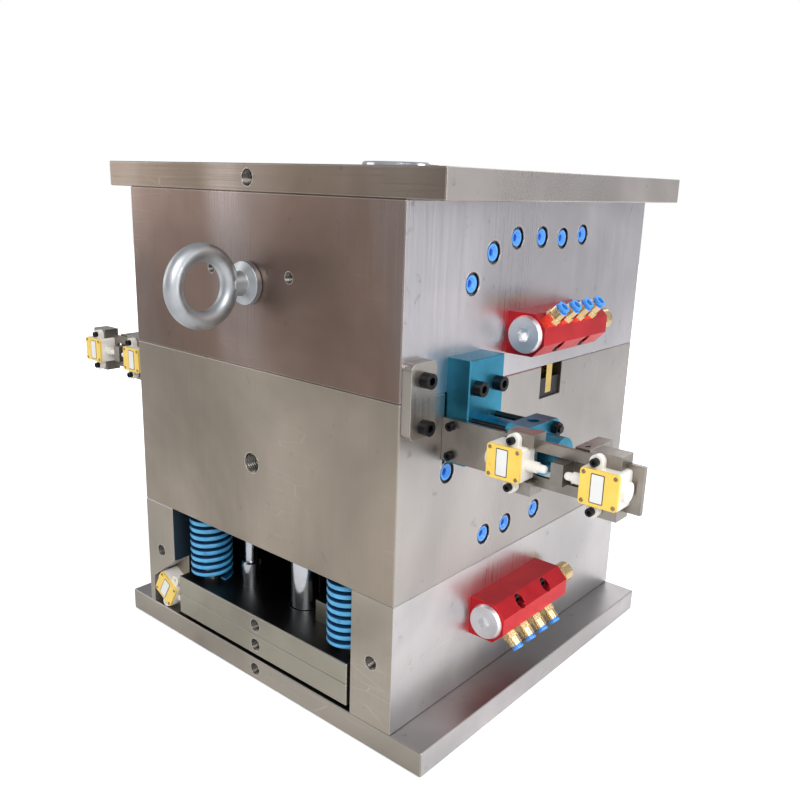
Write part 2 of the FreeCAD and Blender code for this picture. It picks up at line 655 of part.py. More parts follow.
def shouldered_pin(name, diameter, length, x, y, z, head="pin_head"):
    """Pin with its head down at x, y, z."""
    return fuse(name,
                rod(name + "_head", f"{diameter} + 2 * {head}", "head_height", x, y, z),
                rod(name + "_shank", diameter, length, x, y, z))


def guide_pins():
    """Leader pins with rounded tips, and the two straight pins that guide the ejector plates."""
    pins = []
    reach = "b_thickness + a_thickness * 0.55"
    for i in (-1, 1):
        for j in (-1, 1):
            x, y = f"{i} * guide_pin_x", f"{j} * guide_pin_y"
            shank = shouldered_pin("leader_pin", "guide_pin_diameter", reach, x, y, "z_b")
            tip = cone("leader_pin_tip", "guide_pin_diameter", "guide_pin_diameter - 10", "8",
                       x, y, f"z_b + {reach}")
            pins.append(fuse("leader_pin_whole", shank, tip))
    for i in (-1, 1):
        pins.append(rod("ejector_guide_pin", "ejector_guide_diameter", "spacer_height + 15",
                        f"{i} * ejector_guide_x", f"{i} * ejector_guide_y", "z_spacer"))
    return node("guide_pins", group("guide_pin_set", *pins))


def support_pillars():
    pillars = [rod("pillar", "pillar_diameter", "spacer_height", x, y, "z_spacer") for x, y in PILLARS]
    return node("support_pillars", group("pillar_set", *pillars))


def rest_buttons():
    buttons = [rod("rest_button", "rest_diameter", "rest_height - rest_gap", x, y, "z_spacer")
               for x, y in REST_PLACES]
    return node("rest_buttons", group("rest_button_set", *buttons))


def moving_half_screws():
    screws = []
    for i in (-1, 1):
        for j in (-1, 1):
            screws.append(socket_screw("base_screw", "big_screw", "spacer_height + clamp_thickness",
                                       f"{i} * (side - spacer_width / 2)", f"{j} * mould_depth * 0.32",
                                       "big_screw + 2", "z"))
    for j in (-1, 1):
        screws.append(socket_screw("lower_manifold_screw", "manifold_thread", "manifold_seat + 15",
                                   "side + manifold_seat", f"lower_manifold_y + {j} * manifold_screw_y",
                                   "lower_manifold_z + manifold_screw", "-x"))
    return node("moving_half_screws", group("moving_screw_set", *screws))


# ---------------------------------------------------------------- ejector set

def ejector_plates():
    retainer = plate("retainer_plate", "ejector_width", "ejector_depth", "retainer_thickness", "z_retainer")
    lower = plate("ejector_plate", "ejector_width", "ejector_depth", "ejector_thickness", "z_ejector")
    for body, thickness in ((retainer, "retainer_thickness"), (lower, "ejector_thickness")):
        drill(body, "pillar_clearance", "XY_Plane", "0",
              [(x, y, "pillar_diameter + 4") for x, y in PILLARS], thickness, True)
        drill(body, "bushing_bores", "XY_Plane", "0",
              [(f"{i} * ejector_guide_x", f"{i} * ejector_guide_y", "ejector_bush_diameter")
               for i in (-1, 1)], thickness, True)
        drill(body, "front_thread", "XZ_Plane", "ejector_depth / 2",
              [("0", f"{thickness} / 2", "side_thread")], "30")
        drill(body, "rear_thread", "XZ_Plane", "-ejector_depth / 2",
              [("0", f"{thickness} / 2", "side_thread")], "30", True)
        drill(body, "plate_screw_bores", "XY_Plane", "0", plate_screw_places("strap_thread"), thickness, True)
    drill(retainer, "return_pin_bores", "XY_Plane", "0",
          four("return_pin_x", "return_pin_y", "return_pin_diameter"), "retainer_thickness", True)
    drill(retainer, "ejector_pin_bores", "XY_Plane", "0",
          [(x, y, "ejector_pin_diameter") for x, y in PIN_PLACES], "retainer_thickness", True)
    heads = four("return_pin_x", "return_pin_y", "return_pin_diameter + 2 * pin_head")
    heads += [(x, y, "ejector_pin_diameter + 2 * ejector_pin_head") for x, y in PIN_PLACES]
    heads += [(f"{i} * ejector_guide_x", f"{i} * ejector_guide_y", "ejector_bush_diameter + 2 * pin_head")
              for i in (-1, 1)]
    drill(retainer, "head_seats", "XY_Plane", "0", heads, "head_height", True)
    drill(lower, "knockout_thread", "XY_Plane", "0", [("0", "0", "big_screw")], "ejector_thickness", True)
    drill(lower, "plate_screw_seats", "XY_Plane", "0", plate_screw_places("strap_thread * 1.6 + 1"),
          "strap_thread + 1", True)
    node("retainer_plate", retainer)
    node("ejector_plate", lower)


def plate_screw_places(diameter):
    return four("ejector_width / 2 - 20", "mould_depth * 0.22", diameter)


def ejector_plate_screws():
    screws = [socket_screw("plate_screw", "strap_thread", "ejector_thickness + 8",
                           f"{i} * (ejector_width / 2 - 20)", f"{j} * mould_depth * 0.22",
                           "z_ejector + strap_thread + 1", "z")
              for i in (-1, 1) for j in (-1, 1)]
    return node("ejector_plate_screws", group("plate_screw_set", *screws))


def return_pins():
    pins = [shouldered_pin("return_pin", "return_pin_diameter", "z_part - z_retainer - 0.05",
                           f"{i} * return_pin_x", f"{j} * return_pin_y", "z_retainer")
            for i in (-1, 1) for j in (-1, 1)]
    return node("return_pins", group("return_pin_set", *pins))


def ejector_pins():
    pins = [shouldered_pin("ejector_pin", "ejector_pin_diameter",
                           "z_part - form_depth - z_retainer - 0.05", x, y, "z_retainer", "ejector_pin_head")
            for x, y in PIN_PLACES]
    return node("ejector_pins", group("ejector_pin_set", *pins))


def ejector_guide_bushings():
    """Flanged bushings, their flange between the two plates and their collar up in the ejector box."""
    bushes = []
    for i in (-1, 1):
        x, y = f"{i} * ejector_guide_x", f"{i} * ejector_guide_y"
        height = "ejector_thickness + retainer_thickness + ejector_bush_rise"
        blank = fuse("ejector_bush_blank",
                     rod("ejector_bush_tube", "ejector_bush_diameter", f"{height} - 2", x, y, "z_ejector"),
                     cone("ejector_bush_nose", "ejector_bush_diameter", "ejector_bush_diameter - 4", "2",
                          x, y, f"z_ejector + {height} - 2"),
                     rod("ejector_bush_flange", "ejector_bush_diameter + 2 * pin_head", "head_height",
                         x, y, "z_retainer"))
        bore = rod("ejector_bush_bore", "ejector_guide_diameter + 2 * guide_fit", f"{height} + 2",
                   x, y, "z_ejector - 1")
        bushes.append(cut("ejector_bush", blank, bore))
    return node("ejector_guide_bushings", group("ejector_bush_set", *bushes))


def stroke_stops():
    """Blocks on the retainer plate that meet the B plate at the end of the stroke."""
    blocks = []
    for i in (-1, 1):
        blocks.append(box("stroke_stop", "stop_size", "stop_size", "stop_height",
                          f"-{i} * ejector_guide_x - stop_size / 2",
                          f"{i} * ejector_guide_y - stop_size / 2", "z_retainer_top"))
    return node("stroke_stops", group("stroke_stop_set", *blocks))


def return_springs():
    """Flat-wire compression springs round the return pins, closed coil by coil on one helix."""
    length = size("z_b + spring_pocket - z_retainer_top - spring_wire_height")
    radius = size("spring_diameter / 2 - spring_wire_width / 2")
    half_w, half_h = size("spring_wire_width / 2"), size("spring_wire_height / 2")
    path = Part.makeHelix(length / size("spring_turns"), length, radius)
    corners = [(radius - half_w, -half_h), (radius + half_w, -half_h),
               (radius + half_w, half_h), (radius - half_w, half_h)]
    points = [FreeCAD.Vector(r, 0, h) for r, h in corners]
    profile = Part.makePolygon(points + points[:1])
    coil = Part.Wire(path.Edges).makePipeShell([profile], True, True)
    springs = []
    for i in (-1, 1):
        for j in (-1, 1):
            spring = coil.copy()
            spring.translate(FreeCAD.Vector(i * size("return_pin_x"), j * size("return_pin_y"),
                                            size("z_retainer_top + spring_wire_height / 2")))
            springs.append(spring)
    feature = doc.addObject("Part::Feature", "return_springs")
    feature.Shape = Part.Compound(springs)
    return node("return_springs", feature)


# ---------------------------------------------------------------- fixed half: plates

def top_screw_places(diameter):
    return [(f"{i} * (side - 30)", f"{j} * mould_depth * 0.2", diameter) for i in (-1, 1) for j in (-1, 1)]


def top_clamp_plate():
    body = plate("top_clamp_plate", "mould_width + 2 * clamp_overhang", "mould_depth",
                 "clamp_thickness", "z_top")
    drill(body, "ring_seat", "XY_Plane", "clamp_thickness", [("0", "0", "ring_spigot")], "ring_sink")
    drill(body, "sprue_head_seat", "XY_Plane", "clamp_thickness", [("0", "0", "sprue_head")],
          "ring_sink + 15")
    drill(body, "sprue_bore", "XY_Plane", "0", [("0", "0", "sprue_diameter")], "clamp_thickness", True)
    drill(body, "screw_bores", "XY_Plane", "0", top_screw_places("big_screw + 2"), "clamp_thickness", True)
    drill(body, "screw_seats", "XY_Plane", "clamp_thickness", top_screw_places("big_screw * 1.6 + 2"),
          "big_screw + 1")
    drill(body, "front_thread", "XZ_Plane", "front", [("0", "clamp_thickness / 2", "side_thread + 2")],
          "30")
    drill(body, "rear_thread", "XZ_Plane", "-front", [("0", "clamp_thickness / 2", "side_thread + 2")],
          "30", True)
    return node("top_clamp_plate", body)


def a_plate():
    body = plate("a_plate", "mould_width", "mould_depth", "a_thickness", "z_a")
    opening = sketch(body, "a_insert_pocket_outline", "XY_Plane")
    rectangle(opening, "-insert_x", "-insert_y", "insert_x", "insert_y")
    pocket(body, "a_insert_pocket", opening, "insert_depth", True)
    for sign, name in ((1, "right"), (-1, "left")):
        near, far = sorted((f"{sign} * (insert_x - 1)", f"{sign} * (side - way_wall)"), key=size)
        way = sketch(body, name + "_slide_way_outline", "XY_Plane")
        rectangle(way, near, "-pull_y - slide_width / 2 - slide_fit", far,
                  "-pull_y + slide_width / 2 + slide_fit")
        pocket(body, name + "_slide_way", way, "slide_rise + slide_fit", True)
        keys = sketch(body, name + "_slide_key_outline", "XY_Plane", "slide_rise - key_height - slide_fit")
        rectangle(keys, near, "-pull_y - slide_width / 2 - key_width - slide_fit", far,
                  "-pull_y + slide_width / 2 + key_width + slide_fit")
        pocket(body, name + "_slide_keyway", keys, "key_height + 2 * slide_fit", True)
    drill(body, "bushing_bores", "XY_Plane", "0", four("guide_pin_x", "guide_pin_y", "bushing_diameter"),
          "a_thickness", True)
    drill(body, "bushing_head_seats", "XY_Plane", "a_thickness",
          four("guide_pin_x", "guide_pin_y", "bushing_diameter + 2 * pin_head"), "head_height")
    drill(body, "sprue_bore", "XY_Plane", "0", [("0", "0", "sprue_diameter")], "a_thickness", True)
    drill(body, "clamp_threads", "XY_Plane", "a_thickness", top_screw_places("big_screw"), "35")
    drill(body, "front_lifting_thread", "XZ_Plane", "front", [("0", "a_lift_z", "lift_thread")], "tap_depth")
    drill(body, "rear_lifting_thread", "XZ_Plane", "-front", [("0", "a_lift_z", "lift_thread")],
          "tap_depth", True)
    drill(body, "front_taps", "XZ_Plane", "front", [(f"{i} * 66", "108.5", "12") for i in (-1, 1)], "25")
    drill(body, "port_recesses", "YZ_Plane", "side",
          [(str(y), f"{rise} - stack_gap", "port_recess") for y, rise in A_PORTS], "port_depth")
    drill(body, "port_channels", "YZ_Plane", "side",
          [(str(y), f"{rise} - stack_gap", "port_sleeve") for y, rise in A_PORTS],
          "port_depth + sleeve_length")
    tongue = sketch(body, "tongue_seat_outline", "XY_Plane")
    rectangle(tongue, "side - lock_depth + 2", "lock_y - tongue_head_width / 2", "side - lock_setback",
              "lock_y + tongue_head_width / 2")
    pocket(body, "tongue_seat", tongue, "tongue_head", True)
    drill(body, "strap_thread_bore", "YZ_Plane", "side",
          [("-strap_y", "strap_screw - stack_gap", "strap_thread")], "20")
    drill(body, "manifold_threads", "YZ_Plane", "side",
          [(f"upper_manifold_y + {j} * manifold_screw_y",
            "upper_manifold_rise - manifold_screw - stack_gap", "manifold_thread") for j in (-1, 1)], "25")
    for name, offset, onward in (("right_block_threads", "side", False),
                                 ("left_block_threads", "-side", True)):
        drill(body, name, "YZ_Plane", offset,
              [(f"-pull_y + {j} * block_screw_y", "block_screw_rise - stack_gap", "strap_thread")
               for j in (-1, 1)], "25", onward)
    return node("a_plate", body)


def a_insert():
    """Insert of the fixed half, with the core that hangs into the moving half's cavity."""
    base = box("a_insert_base", "2 * insert_x", "2 * insert_y", "insert_depth",
               "-insert_x", "-insert_y", "z_a")
    core = box("a_insert_core", "2 * (form_x - form_wall)", "2 * (form_y - form_wall)",
               "form_depth - form_wall + 1", "-form_x + form_wall", "-form_y + form_wall",
               "z_a - form_depth + form_wall")
    sprue = cone("a_insert_sprue", "10", "7", "insert_depth + form_depth + 2", "0", "0",
                 "z_a - form_depth")
    return node("a_insert", cut("a_insert_cut", fuse("a_insert_blank", base, core), sprue))


def guide_bushings():
    bushes = []
    for i in (-1, 1):
        for j in (-1, 1):
            x, y = f"{i} * guide_pin_x", f"{j} * guide_pin_y"
            blank = fuse("bushing_blank",
                         rod("bushing_tube", "bushing_diameter", "a_thickness", x, y, "z_a"),
                         rod("bushing_head", "bushing_diameter + 2 * pin_head", "head_height",
                             x, y, "z_top - head_height"))
            bore = rod("bushing_bore", "guide_pin_diameter + 2 * guide_fit", "a_thickness + 2",
                       x, y, "z_a - 1")
            bushes.append(cut("bushing", blank, bore))
    return node("guide_bushings", group("bushing_set", *bushes))


def sprue_bushing():
    head = rod("sprue_head_blank", "sprue_head", "15", "0", "0", "z_top + clamp_thickness - ring_sink - 15")
    shank = rod("sprue_shank", "sprue_diameter",
                "a_thickness - insert_depth + clamp_thickness - ring_sink - 14",
                "0", "0", "z_a + insert_depth")
    runner = cone("sprue_taper", "7", "4", "a_thickness + clamp_thickness", "0", "0",
                  "z_a + insert_depth - 1")
    dish = doc.addObject("Part::Sphere", "nozzle_dish")
    bind(dish, Radius="16", z="z_top + clamp_thickness - ring_sink + 11")
    return node("sprue_bushing", cut("sprue_bushing_cut", fuse("sprue_blank", head, shank), runner, dish))


def locating_ring():
    z = "z_top + clamp_thickness - ring_sink"
    spigot = rod("ring_spigot_disc", "ring_spigot", "ring_sink + 1", "0", "0", z)
    disc = rod("ring_disc", "ring_diameter", "ring_rise - ring_bevel", "0", "0", f"{z} + ring_sink")
    rim = cone("ring_rim", "ring_diameter", "ring_diameter - 2 * ring_bevel", "ring_bevel", "0", "0",
               f"{z} + ring_sink + ring_rise - ring_bevel")
    bore = cone("ring_bore", "sprue_head - 4", "sprue_head + 20", "ring_sink + ring_rise + 2", "0", "0",
                f"{z} - 1")
    screws = [rod("ring_screw_seat", "11", "7", f"{i} * ring_diameter * 0.38", "0",
                  f"{z} + ring_sink + ring_rise - 6") for i in (-1, 1)]
    blank = fuse("ring_blank", spigot, disc, rim)
    return node("locating_ring", cut("locating_ring_cut", blank, bore, *screws))


def eye_bolt():
    """Forged eye: threaded shank and collar turned about Y, with a round eye standing upright."""
    body = new_body("eye_bolt_shank")
    profile = sketch(body, "shank_profile", "XY_Plane")
    neck = "eye_reach - eye_diameter / 2"
    outline(profile, [
        ("0", "-tap_depth + 10"), ("lift_thread / 2 - 1.5", "-tap_depth + 10"),
        ("lift_thread / 2 - 0.2", "-tap_depth + 11.5"), ("lift_thread / 2 - 0.2", "0"),
        ("eye_collar / 2 - 1", "0"), ("eye_collar / 2", "1"), ("eye_collar / 2", "8"),
        ("eye_bar * 0.7", "12"), ("eye_bar * 0.55", neck), ("0", neck),
    ])
    shank = body.newObject("PartDesign::Revolution", "shank")
    shank.Profile = profile
    shank.ReferenceAxis = (profile, ["V_Axis"])
    shank.Angle = 360
    body.Tip = shank
    turn(body, (0, 0, 1), 180)
    bind(body, y="-front", z="z_a + a_lift_z")
    eye = doc.addObject("Part::Torus", "eye")
    turn(eye, (0, 1, 0), 90)
    bind(eye, Radius1="eye_diameter / 2", Radius2="eye_bar / 2", y="-front - eye_reach",
         z="z_a + a_lift_z")
    return node("eye_bolt", fuse("eye_bolt_whole", body, eye))


# ---------------------------------------------------------------- core pulls, built on the +X side

def side_place(offset):
    return f"side + {offset}"


def cylinder_block():
    """Front block: its upper half bolts to the A plate, its lower half carries the cylinder."""
    body = new_body("cylinder_block")
    drawing = sketch(body, "block_outline", "YZ_Plane")
    rectangle(drawing, "-block_width / 2", "-cap_height / 2 + 1", "block_width / 2",
              "pull_drop + block_rise")
    block = pad(body, "block", drawing, "block_reach")
    doc.recompute()
    edges = [f"Edge{i + 1}" for i, edge in enumerate(block.Shape.Edges)
             if abs(edge.BoundBox.XLength) < 0.01 and edge.CenterOfMass.x > 1]
    bevel = body.newObject("PartDesign::Chamfer", "block_bevel")
    bevel.Base = (block, edges)
    bevel.setExpression("Size", expand("plate_bevel"))
    body.Tip = bevel
    drill(body, "rod_bore", "YZ_Plane", "0", [("0", "0", "piston_rod_diameter + 2 * guide_fit")],
          "block_reach", True)
    drill(body, "block_screw_bores", "YZ_Plane", "0",
          [(f"{j} * block_screw_y", "pull_drop + block_screw_rise", "strap_thread + 1") for j in (-1, 1)],
          "block_reach", True)
    drill(body, "bracket_threads", "XZ_Plane", "block_width / 2",
          [("bracket_screw_x", f"pull_drop - bracket_drop + {j} * bracket_screw_z", "small_thread")
           for j in (-1, 1)], "12")
    bind(body, x="side", y="-pull_y", z="z_pull")
    return body


def barrel():
    tube = rod("barrel_tube", "barrel_diameter", "cap_start - block_reach", side_place("block_reach"),
               "-pull_y", "z_pull", "x")
    bore = rod("barrel_bore", "barrel_diameter - 12", "cap_start - block_reach + 2",
               side_place("block_reach - 1"), "-pull_y", "z_pull", "x")
    return cut("barrel", tube, bore)


def rear_cap():
    body = new_body("rear_cap")
    drawing = sketch(body, "cap_outline", "YZ_Plane")
    w, h, c = "block_width / 2", "cap_height / 2", "4"
    outline(drawing, [(f"-{w} + {c}", f"-{h}"), (f"{w} - {c}", f"-{h}"), (w, f"-{h} + {c}"),
                      (w, f"{h} - {c}"), (f"{w} - {c}", h), (f"-{w} + {c}", h), (f"-{w}", f"{h} - {c}"),
                      (f"-{w}", f"-{h} + {c}")])
    pad(body, "cap", drawing, "cap_length")
    gland = sketch(body, "gland_outline", "YZ_Plane", "cap_length")
    circle(gland, "0", "0", "gland_diameter")
    pad(body, "gland", gland, "gland_length")
    drill(body, "tail_bore", "YZ_Plane", "0", [("0", "0", "piston_rod_diameter + 2 * guide_fit")],
          "cap_length + gland_length", True)
    drill(body, "tie_bores", "YZ_Plane", "0", tie_places("tie_rod_diameter"), "cap_length", True)
    drill(body, "oil_port", "XY_Plane", "cap_height / 2", [("cap_length / 2", "0", "13")], "10")
    bind(body, x=side_place("cap_start"), y="-pull_y", z="z_pull")
    return body


def tie_places(diameter):
    return four("tie_rod_y", "tie_rod_z", diameter)


def tie_rods():
    """Four tie rods with a hexagon nut each, from the block to behind the cap."""
    rods = []
    for i in (-1, 1):
        for j in (-1, 1):
            y, z = f"-pull_y + {i} * tie_rod_y", f"z_pull + {j} * tie_rod_z"
            length = "cap_start + cap_length + tie_rod_end - block_reach"
            stem = rod("tie_rod_stem", "tie_rod_diameter", length, side_place("block_reach"), y, z, "x")
            nut = hexagon("tie_rod_nut", "tie_rod_diameter * 1.6", "tie_rod_diameter * 0.8",
                          side_place("cap_start + cap_length"), y, z, "x")
            rods.append(fuse("tie_rod", stem, nut))
    return group("tie_rod_set", *rods)


def piston_rod():
    """One rod through both ends of the cylinder, with the piston on it inside the barrel."""
    stem = rod("rod_stem", "piston_rod_diameter",
               "rod_engagement + slide_inset + dog_start + dog_width + arm_thickness + tail_length",
               "side - slide_inset - rod_engagement", "-pull_y", "z_pull", "x")
    piston = rod("piston", "barrel_diameter - 12 - 2 * guide_fit", "15",
                 side_place("cap_start - 16"), "-pull_y", "z_pull", "x")
    return fuse("piston_rod", stem, piston)


def side_core():
    """Slide hung in the A plate's way by two keys; its leg carries the core block."""
    middle = "-pull_y"
    carriage = box("slide_carriage", "slide_length", "slide_width", "slide_rise", "slide_start",
                   f"{middle} - slide_width / 2", "z_a")
    keys = box("slide_keys", "slide_length", "slide_width + 2 * key_width", "key_height", "slide_start",
               f"{middle} - slide_width / 2 - key_width", "z_a + slide_rise - key_height")
    leg = box("slide_leg", "slide_length", "slide_leg", "pull_drop + 16 + stack_gap", "slide_start",
              f"{middle} - slide_leg / 2", "z_pull - 16")
    core_x = "form_x + core_travel"
    block = box("core_block", f"slide_start - {core_x} + 1", "nose_width", "pull_drop + nose_drop",
                core_x, f"{middle} - nose_width / 2", "z_pull - nose_drop")
    tip = box("core_tip", "form_wall - nose_gap + 1", "core_width", "core_height",
              f"{core_x} - form_wall + nose_gap", f"{middle} - core_width / 2",
              "z_pull - core_height / 2")
    seat = rod("slide_rod_seat", "piston_rod_diameter", "rod_engagement",
               "side - slide_inset - rod_engagement", middle, "z_pull", "x")
    return cut("side_core", fuse("slide_blank", leg, carriage, keys, block, tip), seat)


def dog():
    """Arm clamped on the tail rod behind the bracket, and the dog that reaches through the slot."""
    arm_x = side_place("dog_start + dog_width")
    arm_y = "-pull_y - block_width / 2 + arm_inset"
    arm = box("dog_arm", "arm_thickness + 0.5", "arm_width", "arm_height", f"{arm_x} - 0.5", arm_y,
              "z_pull - arm_height / 2 + 0.5")
    hole = rod("dog_arm_bore", "piston_rod_diameter", "arm_thickness + 2", f"{arm_x} - 1", "-pull_y",
               "z_pull", "x")
    tap = rod("dog_arm_tap", "small_thread", "15", f"{arm_x} + arm_thickness / 2", f"{arm_y} + 9",
              "z_pull + arm_height / 2 - 12")
    head = box("dog_head", "dog_width", "dog_rise + bracket_thickness + arm_inset + 10",
               "dog_height", side_place("dog_start"), "bracket_front - dog_rise",
               "z_bracket - dog_height / 2")
    return cut("dog", fuse("dog_blank", arm, head), hole, tap)


def bracket():
    """Steel plate along the cylinder with the slot for the dog."""
    body = new_body("bracket")
    drawing = sketch(body, "bracket_outline", "XZ_Plane")
    rectangle(drawing, "0.3", "-bracket_height / 2", "bracket_reach", "bracket_height / 2")
    pad(body, "bracket_plate", drawing, "bracket_thickness")
    slot = sketch(body, "slot_outline", "XZ_Plane")
    rectangle(slot, "slot_start", "-slot_height / 2", "slot_start + slot_length", "slot_height / 2")
    opening = pocket(body, "slot", slot, "bracket_thickness", True)
    doc.recompute()
    corners = [f"Edge{i + 1}" for i, edge in enumerate(opening.Shape.Edges)
               if edge.BoundBox.XLength < 0.01 and edge.BoundBox.ZLength < 0.01
               and abs(edge.CenterOfMass.z) < size("slot_height / 2") + 1]
    fillet = body.newObject("PartDesign::Fillet", "slot_corners")
    fillet.Base = (opening, corners)
    fillet.setExpression("Radius", expand("slot_corner"))
    body.Tip = fillet
    drill(body, "bracket_screw_bores", "XZ_Plane", "0",
          [("bracket_screw_x", f"{j} * bracket_screw_z", "small_thread + 0.6") for j in (-1, 1)],
          "bracket_thickness", True)
    bind(body, x="side", y="-pull_y - block_width / 2", z="z_bracket")
    return body


# ---------------------------------------------------------------- water manifolds and ports

def manifold_blank(name, y, z):
    """Bevelled bar along Y with a gallery right through, its back on the mould's side."""
    body = new_body(name + "_bar")
    drawing = sketch(body, name + "_section", "XZ_Plane", "-manifold_length / 2")
    half, flat = "manifold_size / 2", "manifold_size - manifold_chamfer"
    low = "manifold_size / 2 - manifold_chamfer"
    outline(drawing, [("0", f"-{half}"), (flat, f"-{half}"), ("manifold_size", f"-({low})"),
                      ("manifold_size", low), (flat, half), ("0", half)])
    pad(body, name + "_length", drawing, "manifold_length")
    drill(body, name + "_gallery", "XZ_Plane", "manifold_length / 2",
          [(half, "0", "manifold_bore")], "manifold_length")
    bind(body, x="side", y=y, z=z)
    return body


FITTING_ROW = (-1.5, -0.5, 0.5, 1.5)


def fitting_places(y):
    return [f"({y}) + fitting_shift + {i} * fitting_pitch" for i in FITTING_ROW]


def manifold(name, y, z, up):
    """Manifold whose fittings point up and out, or down and out, at 45 degrees."""
    tools = []
    for place in fitting_places(y):
        bore = rod(name + "_fitting_bore", "fitting_thread", "manifold_size", "side + manifold_size / 2",
                   place, z)
        tools.append(turn(bore, (0, 1, 0), 45 if up > 0 else 135))
    screw_z = f"{z} - ({up}) * manifold_screw"
    for j in (-1, 1):
        place = f"({y}) + {j} * manifold_screw_y"
        tools.append(rod(name + "_screw_bore", "manifold_thread + 1", "manifold_size", "side - 1",
                         place, screw_z, "x"))
        tools.append(rod(name + "_screw_seat", "manifold_thread * 1.6 + 1.2", "manifold_size",
                         "side + manifold_seat", place, screw_z, "x"))
    return node(name, cut(name + "_cut", manifold_blank(name, y, z), *tools))


def manifold_plug(name, y, z):
    """Flanged plug in the front end of the gallery, with a hexagon socket."""
    x = "side + manifold_size / 2"
    end = f"({y}) - manifold_length / 2"
    flange = cone(name + "_flange", "plug_flange", "plug_flange - 4", "plug_rise", x, end, z, "-y")
    stub = rod(name + "_stub", "manifold_bore", "12", x, end, z, "y")
    socket = hexagon(name + "_socket", "14", "10", x, f"{end} - plug_rise - 1", z, "y")
    return node(name, cut(name + "_cut", fuse(name + "_blank", flange, stub), socket))


def push_in_fitting(name, y, z, up):
    """Push-in fitting: thread, hexagon and body, and the loose release collet in its mouth."""
    root = "sqrt(2) * (manifold_size - manifold_chamfer) / 2"
    stub = rod(name + "_stub", "fitting_thread", "8", "0", "0", f"{root} - 8")
    hex_part = hexagon(name + "_hexagon", "fitting_flats", "fitting_hexagon", "0", "0", root)
    sleeve = rod(name + "_sleeve", "fitting_flats - 1", "fitting_length", "0", "0", root)
    mouth = rod(name + "_mouth", "collet_diameter - 2", "12", "0", "0", f"{root} + fitting_length - 8")
    way = rod(name + "_way", "tube_diameter - 1", "40", "0", "0", f"{root} - 10")
    shell = cut(name + "_shell", fuse(name + "_blank", stub, hex_part, sleeve), mouth, way)
    neck = rod(name + "_neck", "collet_diameter - 2.4", "collet_rise + 6", "0", "0",
               f"{root} + fitting_length - 6")
    rim = rod(name + "_rim", "collet_diameter", "collet_rise - 2", "0", "0",
              f"{root} + fitting_length + 2")
    hole = rod(name + "_hole", "tube_diameter + 0.4", "collet_rise + 10", "0", "0",
               f"{root} + fitting_length - 7")
    collet = cut(name + "_collet", fuse(name + "_collet_blank", neck, rim), hole)
    whole = group(name, shell, collet)
    turn(whole, (0, 1, 0), 45 if up > 0 else 135)
    return bind(whole, x="side + manifold_size / 2", y=y, z=z)


def manifold_fittings(name, y, z, up):
    """Four push-in fittings, and the hose fitting in the rear end."""
    fittings = [push_in_fitting(f"{name}_{i + 1}", place, z, up)
                for i, place in enumerate(fitting_places(y))]
    x = "side + manifold_size / 2"
    end = f"({y}) + manifold_length / 2"
    stub = rod(name + "_end_stub", "manifold_bore", "12", x, f"{end} - 12", z, "y")
    nut = hexagon(name + "_end_nut", "end_fitting", "end_fitting_length * 0.4", x, end, z, "y")
    tail = rod(name + "_end_tail", "end_fitting - 6", "end_fitting_length", x, end, z, "y")
    way = rod(name + "_end_way", "manifold_bore - 6", "end_fitting_length + 20", x, f"{end} - 13", z, "y")
    fittings.append(cut(name + "_end", fuse(name + "_end_blank", stub, nut, tail), way))
    return node(name, group(name + "_set", *fittings))


def port_sleeves(name, ports):
    """Black sleeves pressed in the mould's side, one in each port."""
    sleeves = []
    for y, rise in ports:
        length = "port_depth + sleeve_length - sleeve_sink"
        start = "side - port_depth - sleeve_length"
        z = f"z_part + ({rise})"
        tube = rod(name + "_tube", "port_sleeve", length, start, str(y), z, "x")
        bore = rod(name + "_bore", "port_collet + 0.2", length, f"{start} + 1.5", str(y), z, "x")
        way = rod(name + "_way", "tube_diameter", "10", f"{start} - 1", str(y), z, "x")
        sleeves.append(cut(name + "_sleeve", tube, bore, way))
    return node(name, group(name + "_set", *sleeves))


def port_collets(name, ports):
    """Release collets of the ports, each with a conical mouth."""
    collets = []
    for y, rise in ports:
        length = "port_depth + sleeve_length - sleeve_sink - 1"
        start = "side - port_depth - sleeve_length + 2.5"
        z = f"z_part + ({rise})"
        tube = rod(name + "_tube", "port_collet", length, start, str(y), z, "x")
        bore = rod(name + "_bore", "tube_diameter", "40", f"{start} - 1", str(y), z, "x")
        mouth = cone(name + "_mouth", "tube_diameter", "port_collet - 4", "3",
                     f"{start} + {length} - 2.9", str(y), z, "x")
        collets.append(cut(name + "_collet", tube, bore, mouth))
    return node(name, group(name + "_set", *collets))


# ---------------------------------------------------------------- strap and side lock

def transport_strap():
    """Strap across the parting line; it hangs from its upper screw."""
    body = new_body("transport_strap")
    drawing = sketch(body, "strap_outline", "YZ_Plane")
    rectangle(drawing, "-strap_width / 2", "-strap_below", "strap_width / 2", "strap_above")
    slab = pad(body, "strap_plate", drawing, "strap_thickness")
    doc.recompute()
    corners = [f"Edge{i + 1}" for i, edge in enumerate(slab.Shape.Edges)
               if edge.BoundBox.YLength < 0.01 and edge.BoundBox.ZLength < 0.01]
    rounded = body.newObject("PartDesign::Fillet", "strap_corners")
    rounded.Base = (slab, corners)
    rounded.setExpression("Radius", expand("strap_corner"))
    body.Tip = rounded
    drill(body, "strap_bores", "YZ_Plane", "strap_thickness",
          [("0", f"{j} * strap_screw", "strap_thread + 1") for j in (-1, 1)], "strap_thickness")
    bind(body, x="side + strap_gap", y="-strap_y", z="z_part")
    return node("transport_strap", body)


def strap_release_screw():
    """Lower strap screw, backed out of the B plate and held in the strap."""
    return node("strap_release_screw",
                socket_screw("strap_release", "strap_thread", "strap_thickness - 0.5",
                             "side + strap_gap + strap_thickness", "-strap_y", "z_part - strap_screw", "-x"))


